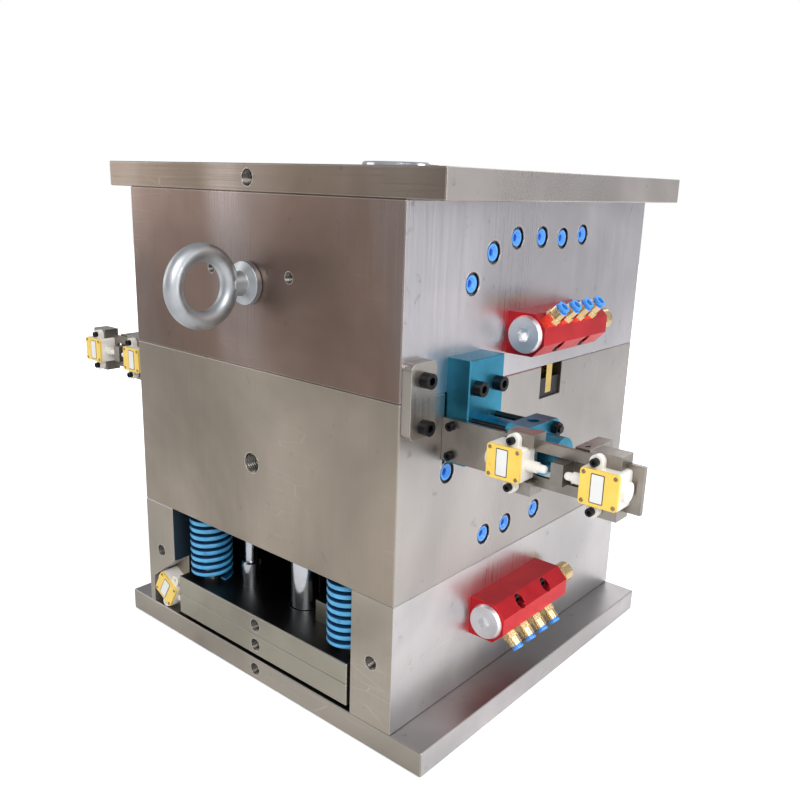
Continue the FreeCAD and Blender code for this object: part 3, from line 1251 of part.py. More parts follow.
def side_lock_body():
    """Hardened block in the B plate's pocket, grooved for the tongue."""
    x = "side - lock_depth"
    y = "lock_y - lock_width / 2"
    floor = "z_part - lock_height"
    blank = box("lock_blank", "lock_depth - lock_setback", "lock_width", "lock_cheek", x, y, floor)
    groove = box("lock_groove", "lock_depth + 2", "tongue_width + 2 * lock_fit", "lock_height", f"{x} - 1",
                 "lock_y - tongue_width / 2 - lock_fit", f"{floor} + lock_floor")
    return node("side_lock_body", cut("side_lock_body_cut", blank, groove))


def side_lock_tongue():
    """Tongue hanging from the A plate into the lock's groove."""
    blade = box("tongue_blade", "lock_depth - lock_setback - 2", "tongue_width",
                "lock_height - lock_floor - 0.5 + tongue_head", "side - lock_depth + 2",
                "lock_y - tongue_width / 2", "z_part - lock_height + lock_floor + 0.5")
    head = box("tongue_head", "lock_depth - lock_setback - 2", "tongue_head_width", "tongue_head",
               "side - lock_depth + 2", "lock_y - tongue_head_width / 2", "z_a")
    return node("side_lock_tongue", fuse("side_lock_tongue_blank", blade, head))


# ---------------------------------------------------------------- limit switches, in their own frame

def rounded_box(name, length, width, height, x, y, z, radius):
    """Box whose four edges along Y are rounded."""
    blank = box(name + "_blank", length, width, height, x, y, z)
    doc.recompute()
    edges = [i + 1 for i, edge in enumerate(blank.Shape.Edges)
             if edge.BoundBox.XLength < 0.01 and edge.BoundBox.ZLength < 0.01]
    rounded = doc.addObject("Part::Fillet", name)
    rounded.Base = blank
    rounded.Edges = [(index, size(radius), size(radius)) for index in edges]
    return rounded


def switch_shell(name, nose="nose_length"):
    """Housing behind the origin: mounting face in the XZ plane, plunger bushing toward +X."""
    shell = rounded_box(name + "_shell", "switch_width", "switch_depth", "switch_height",
                        "-switch_width", "-switch_depth", "-switch_height / 2", "switch_corner")
    bush = rod(name + "_bush", "nose_diameter", f"{nose} + 1", "-1", "-plunger_line", "0", "x")
    plug = rod(name + "_plug", "plug_diameter", "plug_length + 1", "-switch_width - plug_length",
               "-plunger_line", "0", "x")
    ears, tools = [], []
    thickness = "switch_depth - clamp_lip - 1 - switch_gap"
    for j in (-1, 1):
        z = f"{j} * (switch_height / 2 + ear_rise)"
        ears.append(rod(name + "_ear", "ear_diameter", thickness, "-ear_inset", "-switch_depth + 1", z, "y"))
        ears.append(box(name + "_ear_web", "ear_diameter", thickness, "ear_rise + 1",
                        "-ear_inset - ear_diameter / 2", "-switch_depth + 1",
                        "switch_height / 2 - 1" if j > 0 else "-switch_height / 2 - ear_rise"))
        tools.append(rod(name + "_ear_bore", "ear_screw + 0.6", "switch_depth", "-ear_inset",
                         "-switch_depth", z, "y"))
    guide = rod(name + "_guide", "plunger_diameter + 2 * guide_fit", f"{nose} + 10", "-8",
                "-plunger_line", "0", "x")
    return cut(name, fuse(name + "_solid", shell, bush, plug, *ears), guide, *tools)


def switch_lid(name):
    return rounded_box(name, "switch_width - 0.6", "cover_thickness", "switch_height - 0.6",
                       "-switch_width + 0.3", "-switch_depth - cover_thickness",
                       "-switch_height / 2 + 0.3", "switch_corner")


def plunger_pin(name, reach):
    """Domed plunger standing out of the housing by its reach."""
    stem = rod(name + "_stem", "plunger_diameter", f"{reach} - plunger_diameter / 2 + 3", "-3",
               "-plunger_line", "0", "x")
    dome = doc.addObject("Part::Sphere", name + "_dome")
    bind(dome, Radius="plunger_diameter / 2", x=f"{reach} - plunger_diameter / 2", y="-plunger_line")
    return fuse(name, stem, dome)


def seat_inner(piece):
    """Inner switch: plunger toward +X."""
    return bind(piece, x="side + inner_switch_start + switch_width", y="bracket_front",
                z="z_bracket + switch_rise")


def seat_outer(piece):
    """Outer switch: the same switch turned over, plunger toward the mould."""
    turn(piece, (0, 1, 0), 180)
    return bind(piece, x="side + outer_switch_start", y="bracket_front", z="z_bracket + switch_rise")


def seat_tilted(piece):
    """Ejector switch in the spacer's notch, its plunger on the ejector plate's end."""
    piece.Placement.Rotation = FreeCAD.Rotation(FreeCAD.Vector(0, 1, 0), size("tilt"))
    return bind(piece, x="-tilted_x", y="-front + notch_depth", z="tilted_z")


INNER_EAR = "side + inner_switch_start + switch_width - ear_inset"
OUTER_EAR = "side + outer_switch_start + ear_inset"
INNER_CLAMP = "side + inner_switch_start + 15"
OUTER_CLAMP = "side + outer_switch_start + 4"
INNER_REACH = "dog_start - inner_switch_start - switch_width - core_travel - touch_gap"
OUTER_REACH = "outer_switch_start - dog_start - dog_width - touch_gap"
TILTED_REACH = ("(tilted_x - ejector_width / 2 - plunger_diameter / 2 - touch_gap)"
                " / cos(tilt * 1 deg) + plunger_diameter / 2")


def clamp_jaws(name, x, hook_start, ear_x):
    """Two jaws over the bracket's long edges: a block in front, a bar across and a hook behind."""
    jaws = []
    back = "bracket_front + bracket_thickness"
    for side_name, sign, height in (("upper", 1, "clamp_height"), ("lower", -1, "clamp_drop")):
        edge = f"z_bracket + {sign} * bracket_height / 2"
        far = f"{edge} + {sign} * ({height})"
        near = f"z_bracket + switch_rise + {sign} * (switch_height / 2 + switch_gap)"
        hooked = f"{edge} - {sign} * hook_depth"
        parts = []
        for part, start, reach, y, depth, inner in (
                ("block", x, "clamp_length", "bracket_front - clamp_lip", "clamp_lip", near),
                ("bar", x, "clamp_length", "bracket_front - 1", "bracket_thickness + 1", edge),
                ("hook", hook_start, f"{x} + clamp_length - ({hook_start})", back, "clamp_hook", hooked)):
            low = inner if sign > 0 else far
            tall = f"abs({far} - ({inner}))"
            parts.append(box(f"{name}_{side_name}_{part}", reach, depth, tall, start, y, low))
        neck = box(f"{name}_{side_name}_neck", f"{x} + clamp_length - ({hook_start})",
                   "bracket_thickness + clamp_hook", f"abs({far} - ({edge}))", hook_start,
                   "bracket_front", edge if sign > 0 else far)
        bore = rod(f"{name}_{side_name}_bore", "ear_screw", "ear_screw_grip + 1", ear_x,
                   "bracket_front - clamp_lip - 1",
                   f"z_bracket + switch_rise + {sign} * (switch_height / 2 + ear_rise)", "y")
        jaws.append(cut(f"{name}_{side_name}", fuse(f"{name}_{side_name}_blank", neck, *parts), bore))
    return jaws


# ---------------------------------------------------------------- screws of the fixed half

def fixed_half_screws():
    screws = []
    for x, y, _ in top_screw_places("big_screw"):
        screws.append(socket_screw("top_screw", "big_screw", "clamp_thickness - big_screw + 24", x, y,
                                   "z_top + clamp_thickness - big_screw - 1"))
    screws.append(socket_screw("strap_screw", "strap_thread", "strap_thickness + 15",
                               "side + strap_gap + strap_thickness", "-strap_y",
                               "z_part + strap_screw", "-x"))
    for j in (-1, 1):
        screws.append(socket_screw("upper_manifold_screw", "manifold_thread", "manifold_seat + 15",
                                   "side + manifold_seat", f"upper_manifold_y + {j} * manifold_screw_y",
                                   "z_part + upper_manifold_rise - manifold_screw", "-x"))
    right = []
    for j in (-1, 1):
        right.append(socket_screw("block_screw", "strap_thread", "block_reach + 16", "side + block_reach",
                                  f"-pull_y + {j} * block_screw_y", "z_part + block_screw_rise", "-x"))
        right.append(socket_screw("bracket_screw", "small_thread", "bracket_thickness + 10",
                                  "side + bracket_screw_x", "bracket_front",
                                  f"z_bracket + {j} * bracket_screw_z", "y"))
    for ear_x in (INNER_EAR, OUTER_EAR):
        for j in (-1, 1):
            right.append(socket_screw("ear_screw", "ear_screw",
                                      "switch_depth - clamp_lip - 1 + ear_screw_grip", ear_x, "bracket_front - switch_depth + 1",
                                      f"z_bracket + switch_rise + {j} * (switch_height / 2 + ear_rise)", "y"))
    right_set = group("right_pull_screws", *right)
    screws += [right_set, mirrored("left_pull_screws", right_set)]
    return node("fixed_half_screws", group("fixed_screw_set", *screws))


def pair(label, *right):
    """Node with the same pieces on both X sides."""
    one = right[0] if len(right) == 1 else group(label + "_right", *right)
    return node(label, group(label + "_pair", one, mirrored(label + "_left", one)))


# ---------------------------------------------------------------- build

bottom_clamp_plate()
left_spacer_block()
right_spacer_block()
b_plate()
b_insert()
guide_pins()
support_pillars()
rest_buttons()
moving_half_screws()
ejector_plates()
ejector_plate_screws()
return_pins()
ejector_pins()
ejector_guide_bushings()
stroke_stops()
return_springs()

top_clamp_plate()
a_plate()
a_insert()
guide_bushings()
sprue_bushing()
locating_ring()
eye_bolt()
fixed_half_screws()

UPPER_Z = "(z_part + upper_manifold_rise)"
manifold("upper_manifold", "upper_manifold_y", UPPER_Z, 1)
manifold_plug("upper_manifold_plug", "upper_manifold_y", UPPER_Z)
manifold_fittings("upper_manifold_fittings", "upper_manifold_y", UPPER_Z, 1)
manifold("lower_manifold", "lower_manifold_y", "lower_manifold_z", -1)
manifold_plug("lower_manifold_plug", "lower_manifold_y", "lower_manifold_z")
manifold_fittings("lower_manifold_fittings", "lower_manifold_y", "lower_manifold_z", -1)
port_sleeves("a_side_ports", A_PORTS)
port_collets("a_side_collets", A_PORTS)
port_sleeves("b_side_ports", B_PORTS)
port_collets("b_side_collets", B_PORTS)
transport_strap()
strap_release_screw()
side_lock_body()
side_lock_tongue()

pair("cylinder_blocks", cylinder_block())
pair("cylinder_barrels", barrel())
pair("cylinder_rear_caps", rear_cap())
pair("tie_rods", tie_rods())
pair("switch_brackets", bracket())
pair("switch_bodies", seat_inner(switch_shell("inner_switch")), seat_outer(switch_shell("outer_switch")))
pair("switch_covers", seat_inner(switch_lid("inner_lid")), seat_outer(switch_lid("outer_lid")))
pair("switch_clamps",
     *clamp_jaws("inner_clamp", INNER_CLAMP, "side + cap_start + cap_length + tie_rod_end + hook_gap",
                 INNER_EAR),
     *clamp_jaws("outer_clamp", OUTER_CLAMP, OUTER_CLAMP, OUTER_EAR))

for label, piece in (("piston_rod", piston_rod()), ("side_core", side_core()), ("dog", dog()),
                     ("inner_plunger", seat_inner(plunger_pin("inner_plunger", INNER_REACH))),
                     ("outer_plunger", seat_outer(plunger_pin("outer_plunger", OUTER_REACH)))):
    node("right_" + label, piece)
    node("left_" + label, mirrored("left_" + label, piece))

node("ejector_switch_body", seat_tilted(switch_shell("tilted_switch", "tilted_nose")))
node("ejector_switch_cover", seat_tilted(switch_lid("tilted_lid")))
node("ejector_switch_plunger", seat_tilted(plunger_pin("tilted_plunger", TILTED_REACH)))

doc.recompute()


# ---------------------------------------------------------------- check and export

failed = [thing.Name for thing in doc.Objects if {"Invalid", "Error"} & set(thing.State)]
for thing in doc.Objects:
    if thing.TypeId == "PartDesign::Pocket" and thing.BaseFeature.Shape.Volume - thing.Shape.Volume < 1:
        failed.append(thing.Name + " cuts nothing")
for thing in NODES:
    if thing.Shape.isNull() or not thing.Shape.isValid():
        failed.append(thing.Label)
if failed:
    raise RuntimeError("failed: " + ", ".join(failed))

os.makedirs("parts", exist_ok=True)
for thing in NODES:
    thing.Shape.exportStep(f"parts/{thing.Label}.step")
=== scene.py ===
import math

import bmesh
import bpy
from mathutils import Matrix, Vector


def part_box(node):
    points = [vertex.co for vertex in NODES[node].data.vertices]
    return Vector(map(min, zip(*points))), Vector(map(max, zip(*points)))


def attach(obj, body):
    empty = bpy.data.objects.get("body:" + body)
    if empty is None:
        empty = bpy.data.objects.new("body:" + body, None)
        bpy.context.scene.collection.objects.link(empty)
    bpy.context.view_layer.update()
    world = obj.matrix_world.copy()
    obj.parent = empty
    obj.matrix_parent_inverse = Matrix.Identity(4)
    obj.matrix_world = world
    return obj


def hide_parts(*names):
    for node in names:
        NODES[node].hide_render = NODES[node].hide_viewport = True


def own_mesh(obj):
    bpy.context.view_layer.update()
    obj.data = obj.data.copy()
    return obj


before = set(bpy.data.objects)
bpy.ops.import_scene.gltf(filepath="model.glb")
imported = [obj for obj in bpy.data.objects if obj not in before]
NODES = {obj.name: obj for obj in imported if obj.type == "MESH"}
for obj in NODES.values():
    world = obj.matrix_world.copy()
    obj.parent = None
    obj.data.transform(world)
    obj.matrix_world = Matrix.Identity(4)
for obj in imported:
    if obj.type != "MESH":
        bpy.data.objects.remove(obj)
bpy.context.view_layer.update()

MM = 0.001

# Places that the looks depend on, read from the frame.
BOX_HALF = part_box("right_spacer_block")[0][0]
BOX_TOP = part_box("right_spacer_block")[1][2]
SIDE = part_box("b_plate")[1][0]
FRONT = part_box("b_plate")[0][1]
PART_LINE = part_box("b_plate")[1][2]
MANIFOLD_X = SIDE + 24 * MM
UPPER_MANIFOLD_Z = (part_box("upper_manifold")[0].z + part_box("upper_manifold")[1].z) / 2
LOWER_MANIFOLD_Z = (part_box("lower_manifold")[0].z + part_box("lower_manifold")[1].z) / 2
COLLET_REACH = 41.1 * MM
INNER_COVER = SIDE + 93.5 * MM
OUTER_COVER = SIDE + 194.5 * MM
TILTED_ROOT = (-0.170, FRONT + 23 * MM, 0.0505)


# ---------------------------------------------------------------- node material helpers

class Graph:
    """A material's node tree with a Principled shader, and short calls that add nodes to it."""

    def __init__(self, name):
        self.material = bpy.data.materials.new(name)
        self.material.use_nodes = True
        self.tree = self.material.node_tree
        self.tree.nodes.clear()
        self.shader = self.tree.nodes.new("ShaderNodeBsdfPrincipled")
        self.output = self.tree.nodes.new("ShaderNodeOutputMaterial")
        self.link(self.shader.outputs[0], self.output.inputs[0])
        self.place = self.tree.nodes.new("ShaderNodeTexCoord").outputs["Object"]

    def link(self, source, target):
        self.tree.links.new(source, target)

    def put(self, socket, value):
        """Set a socket from a number, a colour or another socket."""
        if isinstance(value, bpy.types.NodeSocket):
            self.link(value, socket)
        elif isinstance(value, (tuple, list)) and len(value) == 3 and socket.type == "RGBA":
            socket.default_value = (*value, 1.0)
        else:
            socket.default_value = value

    def set(self, **values):
        for name, value in values.items():
            self.put(self.shader.inputs[name.replace("_", " ")], value)

    def scaled(self, scale, rotation=(0, 0, 0)):
        """Object coordinates, stretched and turned."""
        node = self.tree.nodes.new("ShaderNodeMapping")
        self.link(self.place, node.inputs["Vector"])
        node.inputs["Scale"].default_value = scale
        node.inputs["Rotation"].default_value = rotation
        return node.outputs[0]

    def noise(self, vector, scale, detail=3.0, rough=0.55, distortion=0.0):
        node = self.tree.nodes.new("ShaderNodeTexNoise")
        self.link(vector, node.inputs["Vector"])
        node.inputs["Scale"].default_value = scale
        node.inputs["Detail"].default_value = detail
        node.inputs["Roughness"].default_value = rough
        node.inputs["Distortion"].default_value = distortion
        return node.outputs["Fac"]

    def voronoi(self, vector, scale, feature="F1"):
        node = self.tree.nodes.new("ShaderNodeTexVoronoi")
        node.feature = feature
        self.link(vector, node.inputs["Vector"])
        node.inputs["Scale"].default_value = scale
        return node.outputs["Distance"]

    def math(self, operation, a, b=0.0, c=0.0):
        node = self.tree.nodes.new("ShaderNodeMath")
        node.operation = operation
        for socket, value in zip(node.inputs, (a, b, c)):
            self.put(socket, value)
        return node.outputs[0]

    def spread(self, value, low, high, to_low=0.0, to_high=1.0):
        """Map low..high to another range, smoothly and clamped."""
        node = self.tree.nodes.new("ShaderNodeMapRange")
        node.interpolation_type = "SMOOTHSTEP"
        for name, number in (("Value", value), ("From Min", low), ("From Max", high),
                             ("To Min", to_low), ("To Max", to_high)):
            self.put(node.inputs[name], number)
        return node.outputs[0]

    def mix(self, factor, a, b, blend="MIX"):
        node = self.tree.nodes.new("ShaderNodeMix")
        node.data_type = "RGBA"
        node.blend_type = blend
        self.put(node.inputs[0], factor)
        self.put(node.inputs[6], a)
        self.put(node.inputs[7], b)
        return node.outputs[2]

    def axes(self):
        node = self.tree.nodes.new("ShaderNodeSeparateXYZ")
        self.link(self.place, node.inputs[0])
        return node.outputs

    def normal(self):
        node = self.tree.nodes.new("ShaderNodeNewGeometry")
        split = self.tree.nodes.new("ShaderNodeSeparateXYZ")
        self.link(node.outputs["Normal"], split.inputs[0])
        return split.outputs

    def bump(self, height, strength, distance, radius=0.0):
        """Bump, over edges that are rounded by the radius."""
        node = self.tree.nodes.new("ShaderNodeBump")
        node.inputs["Strength"].default_value = strength
        node.inputs["Distance"].default_value = distance
        self.link(height, node.inputs["Height"])
        if radius:
            self.link(self.rounded(radius), node.inputs["Normal"])
        self.link(node.outputs[0], self.shader.inputs["Normal"])
        return node

    def rounded(self, radius):
        node = self.tree.nodes.new("ShaderNodeBevel")
        node.samples = 4
        node.inputs["Radius"].default_value = radius
        return node.outputs[0]

    def edges(self, radius=0.0015):
        """1 along worn edges, 0 on flats."""
        bevel = self.tree.nodes.new("ShaderNodeBevel")
        bevel.samples = 4
        bevel.inputs["Radius"].default_value = radius
        flat = self.tree.nodes.new("ShaderNodeNewGeometry").outputs["Normal"]
        dot = self.tree.nodes.new("ShaderNodeVectorMath")
        dot.operation = "DOT_PRODUCT"
        self.link(bevel.outputs[0], dot.inputs[0])
        self.link(flat, dot.inputs[1])
        return self.spread(dot.outputs["Value"], 0.99, 0.88)


def lighter(colour, factor):
    return tuple(min(0.95, factor * c) for c in colour)


def steel(name, front, side, sheen=0.34, brush=(900.0, 900.0, 8.0), shade=None, worn=0.6):
    """Ground plate steel: faint grinding lines, cloudy oil stains, fine scratches and bright edges.

    Front and back faces take the front colour and all other faces the lighter side colour: painted light on the
    side faces, standing in for the light they catch. Where a shade mask is given, it adds painted shade."""
    g = Graph(name)
    # Painted light: facing picks the front colour on front and back faces and the lighter side colour elsewhere.
    facing = g.spread(g.math("ABSOLUTE", g.normal()[1]), 0.3, 0.7)
    colour = g.mix(facing, side, front)
    second = g.mix(facing, lighter(side, 1.35), lighter(front, 1.6))
    lines = g.noise(g.scaled(brush), 1.0, 2.0, 0.6)
    cloud = g.noise(g.scaled((1, 1, 1)), 3.2, 4.0, 0.55, 0.6)
    smear = g.noise(g.scaled((5, 5, 1.2), (0.2, 0.4, 0.1)), 1.0, 3.0, 0.5, 0.4)
    spots = g.noise(g.scaled((1, 1, 1)), 55.0, 4.0, 0.65)
    base = g.mix(g.spread(cloud, 0.32, 0.68), colour, second)
    base = g.mix(g.math("MULTIPLY", g.spread(smear, 0.45, 0.75), 0.30), base, lighter(side, 1.3))
    base = g.mix(g.math("MULTIPLY", g.spread(spots, 0.62, 0.75), 0.35), base, lighter(front, 0.5))
    scratch = g.voronoi(g.scaled((7, 16, 60), (0.5, 0.3, 0.9)), 1.0, "DISTANCE_TO_EDGE")
    fine = g.math("MULTIPLY", g.spread(scratch, 0.010, 0.0), g.spread(cloud, 0.5, 0.62))
    base = g.mix(g.math("MULTIPLY", fine, 0.30), base, lighter(side, 1.6))
    # Painted shade: where the mask is set, the steel is darkened towards near black.
    if shade:
        base = g.mix(shade(g), base, (0.012, 0.013, 0.014))
    base = g.mix(g.math("MULTIPLY", g.edges(), worn), base, (0.62, 0.60, 0.57))
    rough = g.math("ADD", g.spread(lines, 0.3, 0.7, sheen - 0.05, sheen + 0.05),
                   g.spread(smear, 0.4, 0.7, 0.05, -0.07))
    g.set(Base_Color=base, Metallic=1.0, Roughness=rough)
    height = g.math("ADD", g.math("MULTIPLY", lines, 0.35), g.math("MULTIPLY", spots, 0.2))
    g.bump(height, 0.08, 0.0003, 0.0008)
    return g.material


def ejector_box_painted_shade(g):
    """Painted shade inside the ejector box: between the spacer blocks, and under the B plate."""
    x, _, z = g.axes()
    inside = g.spread(g.math("ABSOLUTE", x), BOX_HALF + 2 * MM, BOX_HALF, 0.0, 1.0)
    under = g.spread(g.normal()[2], -0.9, -0.5, 1.0, 0.0)
    walls = g.spread(g.math("ABSOLUTE", g.normal()[0]), 0.5, 0.9, 0.0, 0.75)
    low = g.spread(z, BOX_TOP + 3 * MM, BOX_TOP + 1 * MM, 0.0, 1.0)
    return g.math("MULTIPLY", g.math("MULTIPLY", inside, low), g.math("MAXIMUM", under, walls))


def plate_top_painted_shade(g):
    """Painted shade: top faces darkened towards near black."""
    return g.spread(g.normal()[2], 0.5, 0.9, 0.0, 0.85)


def clamp_top_painted_shade(g):
    """Painted shade on the top face of the bottom clamp plate: strong inside the ejector box, weaker outside it,
    where the top face turns brown-grey.
    """
    x, _, _ = g.axes()
    inside = g.spread(g.math("ABSOLUTE", x), BOX_HALF + 2 * MM, BOX_HALF, 0.45, 0.9)
    return g.math("MULTIPLY", inside, g.spread(g.normal()[2], 0.5, 0.9))


def metal(name, colour, rough=0.25, second=None, grain=400.0, bump=0.08, radius=0.0004, edge=0.5):
    """Turned or milled metal part with a light grain."""
    g = Graph(name)
    speck = g.noise(g.scaled((1, 1, 1)), grain, 3.0, 0.6)
    cloud = g.noise(g.scaled((1, 1, 1)), 28.0, 3.0, 0.5)
    base = g.mix(g.spread(cloud, 0.35, 0.7), colour, second or tuple(0.82 * c for c in colour))
    base = g.mix(g.math("MULTIPLY", g.edges(0.0008), edge), base, tuple(min(1.0, 1.5 * c + 0.05) for c in colour))
    g.set(Base_Color=base, Metallic=1.0, Roughness=g.spread(speck, 0.3, 0.7, rough - 0.06, rough + 0.08))
    g.bump(speck, bump, 0.0002, radius)
    return g.material


def paint(name, colour, second, rough=0.38, chip=(0.5, 0.5, 0.5), chips=0.0, coat=0.2, grain=220.0):
    """Painted or plastic surface with slight mottling, orange peel and optional worn edges."""
    g = Graph(name)
    peel = g.noise(g.scaled((1, 1, 1)), grain, 2.0, 0.5)
    cloud = g.noise(g.scaled((1, 1, 1)), 30.0, 4.0, 0.6)
    base = g.mix(g.spread(cloud, 0.35, 0.7), colour, second)
    if chips:
        broken = g.math("MULTIPLY", g.edges(0.0012), g.spread(cloud, 0.45, 0.55))
        base = g.mix(g.math("MULTIPLY", broken, chips), base, chip)
    g.set(Base_Color=base, Metallic=0.0, Roughness=g.spread(cloud, 0.3, 0.7, rough - 0.06, rough + 0.10),
          Coat_Weight=coat)
    g.shader.inputs["Coat Roughness"].default_value = 0.2
    g.bump(peel, 0.08, 0.0003, 0.0005)
    return g.material


def assign(material, *names):
    for name in names:
        node = NODES[name]
        node.data.materials.clear()
        node.data.materials.append(material)


# ---------------------------------------------------------------- camera, light, stage

def add_camera():
    """Camera at the photograph's place: a standing view of the front right corner."""
    yaw, pitch, roll = 0.6955, 0.2666, 0.0323
    forward = Vector((-math.sin(yaw) * math.cos(pitch), math.cos(yaw) * math.cos(pitch), -math.sin(pitch)))
    right = Vector((math.cos(yaw), math.sin(yaw), 0))
    up = right.cross(forward)
    turned_right = math.cos(roll) * right + math.sin(roll) * up
    turned_up = -math.sin(roll) * right + math.cos(roll) * up
    data = bpy.data.cameras.new("camera")
    data.sensor_width = 36.0
    data.lens = 37.42
    data.shift_x = -0.00065
    data.shift_y = 0.01259
    data.clip_start = 0.01
    camera = bpy.data.objects.new("camera", data)
    rotation = Matrix((turned_right, turned_up, -forward)).transposed().to_4x4()
    camera.matrix_world = Matrix.Translation((0.7280, -0.8564, 0.6144)) @ rotation
    bpy.context.scene.collection.objects.link(camera)
    bpy.context.scene.camera = camera


def aim(obj, target):
    obj.rotation_euler = (Vector(target) - obj.location).to_track_quat("-Z", "Y").to_euler()


def area_light(name, place, target, size, power, colour=(1, 1, 1), tall=None):
    data = bpy.data.lights.new(name, "AREA")
    data.shape = "RECTANGLE"
    data.size = size
    data.size_y = tall or size
    data.energy = power
    data.color = colour
    light = bpy.data.objects.new(name, data)
    light.location = place
    bpy.context.scene.collection.objects.link(light)
    aim(light, target)


def add_lights():
    middle = (0, 0, 0.35)
    area_light("key", (1.6, -1.6, 2.0), middle, 1.6, 46)
    area_light("left_fill", (-2.2, -1.2, 1.2), middle, 1.6, 12)
    area_light("right_strip", (2.4, 0.6, 1.1), middle, 0.9, 30, tall=2.0)
    area_light("back", (-0.8, 2.4, 1.8), middle, 1.8, 20)


def add_world():
    """Pale studio: white where the camera sees it, softer as a light."""
    world = bpy.data.worlds.new("studio")
    bpy.context.scene.world = world
    world.use_nodes = True
    tree = world.node_tree
    tree.nodes.clear()
    output = tree.nodes.new("ShaderNodeOutputWorld")
    seen = tree.nodes.new("ShaderNodeBackground")
    seen.inputs["Color"].default_value = (1, 1, 1, 1)
    light = tree.nodes.new("ShaderNodeBackground")
    light.inputs["Color"].default_value = (0.95, 0.97, 1, 1)
    light.inputs["Strength"].default_value = 0.55
    path = tree.nodes.new("ShaderNodeLightPath")
    mix = tree.nodes.new("ShaderNodeMixShader")
    tree.links.new(path.outputs["Is Camera Ray"], mix.inputs[0])
    tree.links.new(light.outputs[0], mix.inputs[1])
    tree.links.new(seen.outputs[0], mix.inputs[2])
    tree.links.new(mix.outputs[0], output.inputs[0])


def add_floor():
    """Pale floor that keeps the object's shadow and fades to white."""
    mesh = bpy.data.meshes.new("floor")
    half = 6.0
    mesh.from_pydata([(-half, -half, -0.0005), (half, -half, -0.0005), (half, half, -0.0005),
                      (-half, half, -0.0005)], [], [(0, 1, 2, 3)])
    floor = bpy.data.objects.new("floor", mesh)
    bpy.context.scene.collection.objects.link(floor)
    g = Graph("floor_paper")
    grain = g.noise(g.scaled((1, 1, 1)), 60.0, 3.0)
    g.set(Base_Color=g.mix(grain, (0.90, 0.90, 0.90), (0.93, 0.93, 0.93)), Roughness=0.9)
    g.set(Emission_Color=(1, 1, 1))
    path = g.tree.nodes.new("ShaderNodeLightPath")
    x, y, _ = g.axes()
    away = g.math("SQRT", g.math("ADD", g.math("MULTIPLY", x, x), g.math("MULTIPLY", y, y)))
    glow = g.spread(away, 0.35, 1.4, 0.36, 1.0)
    seen = g.math("MAXIMUM", path.outputs["Is Camera Ray"], path.outputs["Is Transmission Ray"])
    g.put(g.shader.inputs["Emission Strength"], g.math("MULTIPLY", seen, glow))
    floor.data.materials.append(g.material)


# ---------------------------------------------------------------- materials of the nodes

def fitting_brass():
    """Brass fittings whose release collets, past the fitting's mouth, are blue plastic."""
    g = Graph("fitting_brass")
    x, _, z = g.axes()
    out = g.math("SUBTRACT", x, MANIFOLD_X)
    upper = g.math("SUBTRACT", z, UPPER_MANIFOLD_Z)
    lower = g.math("SUBTRACT", z, LOWER_MANIFOLD_Z)
    rise = g.math("MINIMUM", g.math("ABSOLUTE", upper), g.math("ABSOLUTE", lower))
    reach = g.math("SQRT", g.math("ADD", g.math("MULTIPLY", out, out), g.math("MULTIPLY", rise, rise)))
    blue = g.spread(reach, COLLET_REACH, COLLET_REACH + 0.1 * MM)
    speck = g.noise(g.scaled((1, 1, 1)), 420.0, 3.0, 0.6)
    cloud = g.noise(g.scaled((1, 1, 1)), 60.0, 3.0, 0.5)
    brass = g.mix(g.spread(cloud, 0.35, 0.7), (0.80, 0.60, 0.32), (0.68, 0.48, 0.24))
    g.set(Base_Color=g.mix(blue, brass, (0.06, 0.30, 0.80)), Metallic=g.math("SUBTRACT", 1.0, blue),
          Roughness=g.spread(speck, 0.3, 0.7, 0.2, 0.34))
    g.bump(speck, 0.08, 0.0002, 0.0004)
    return g.material


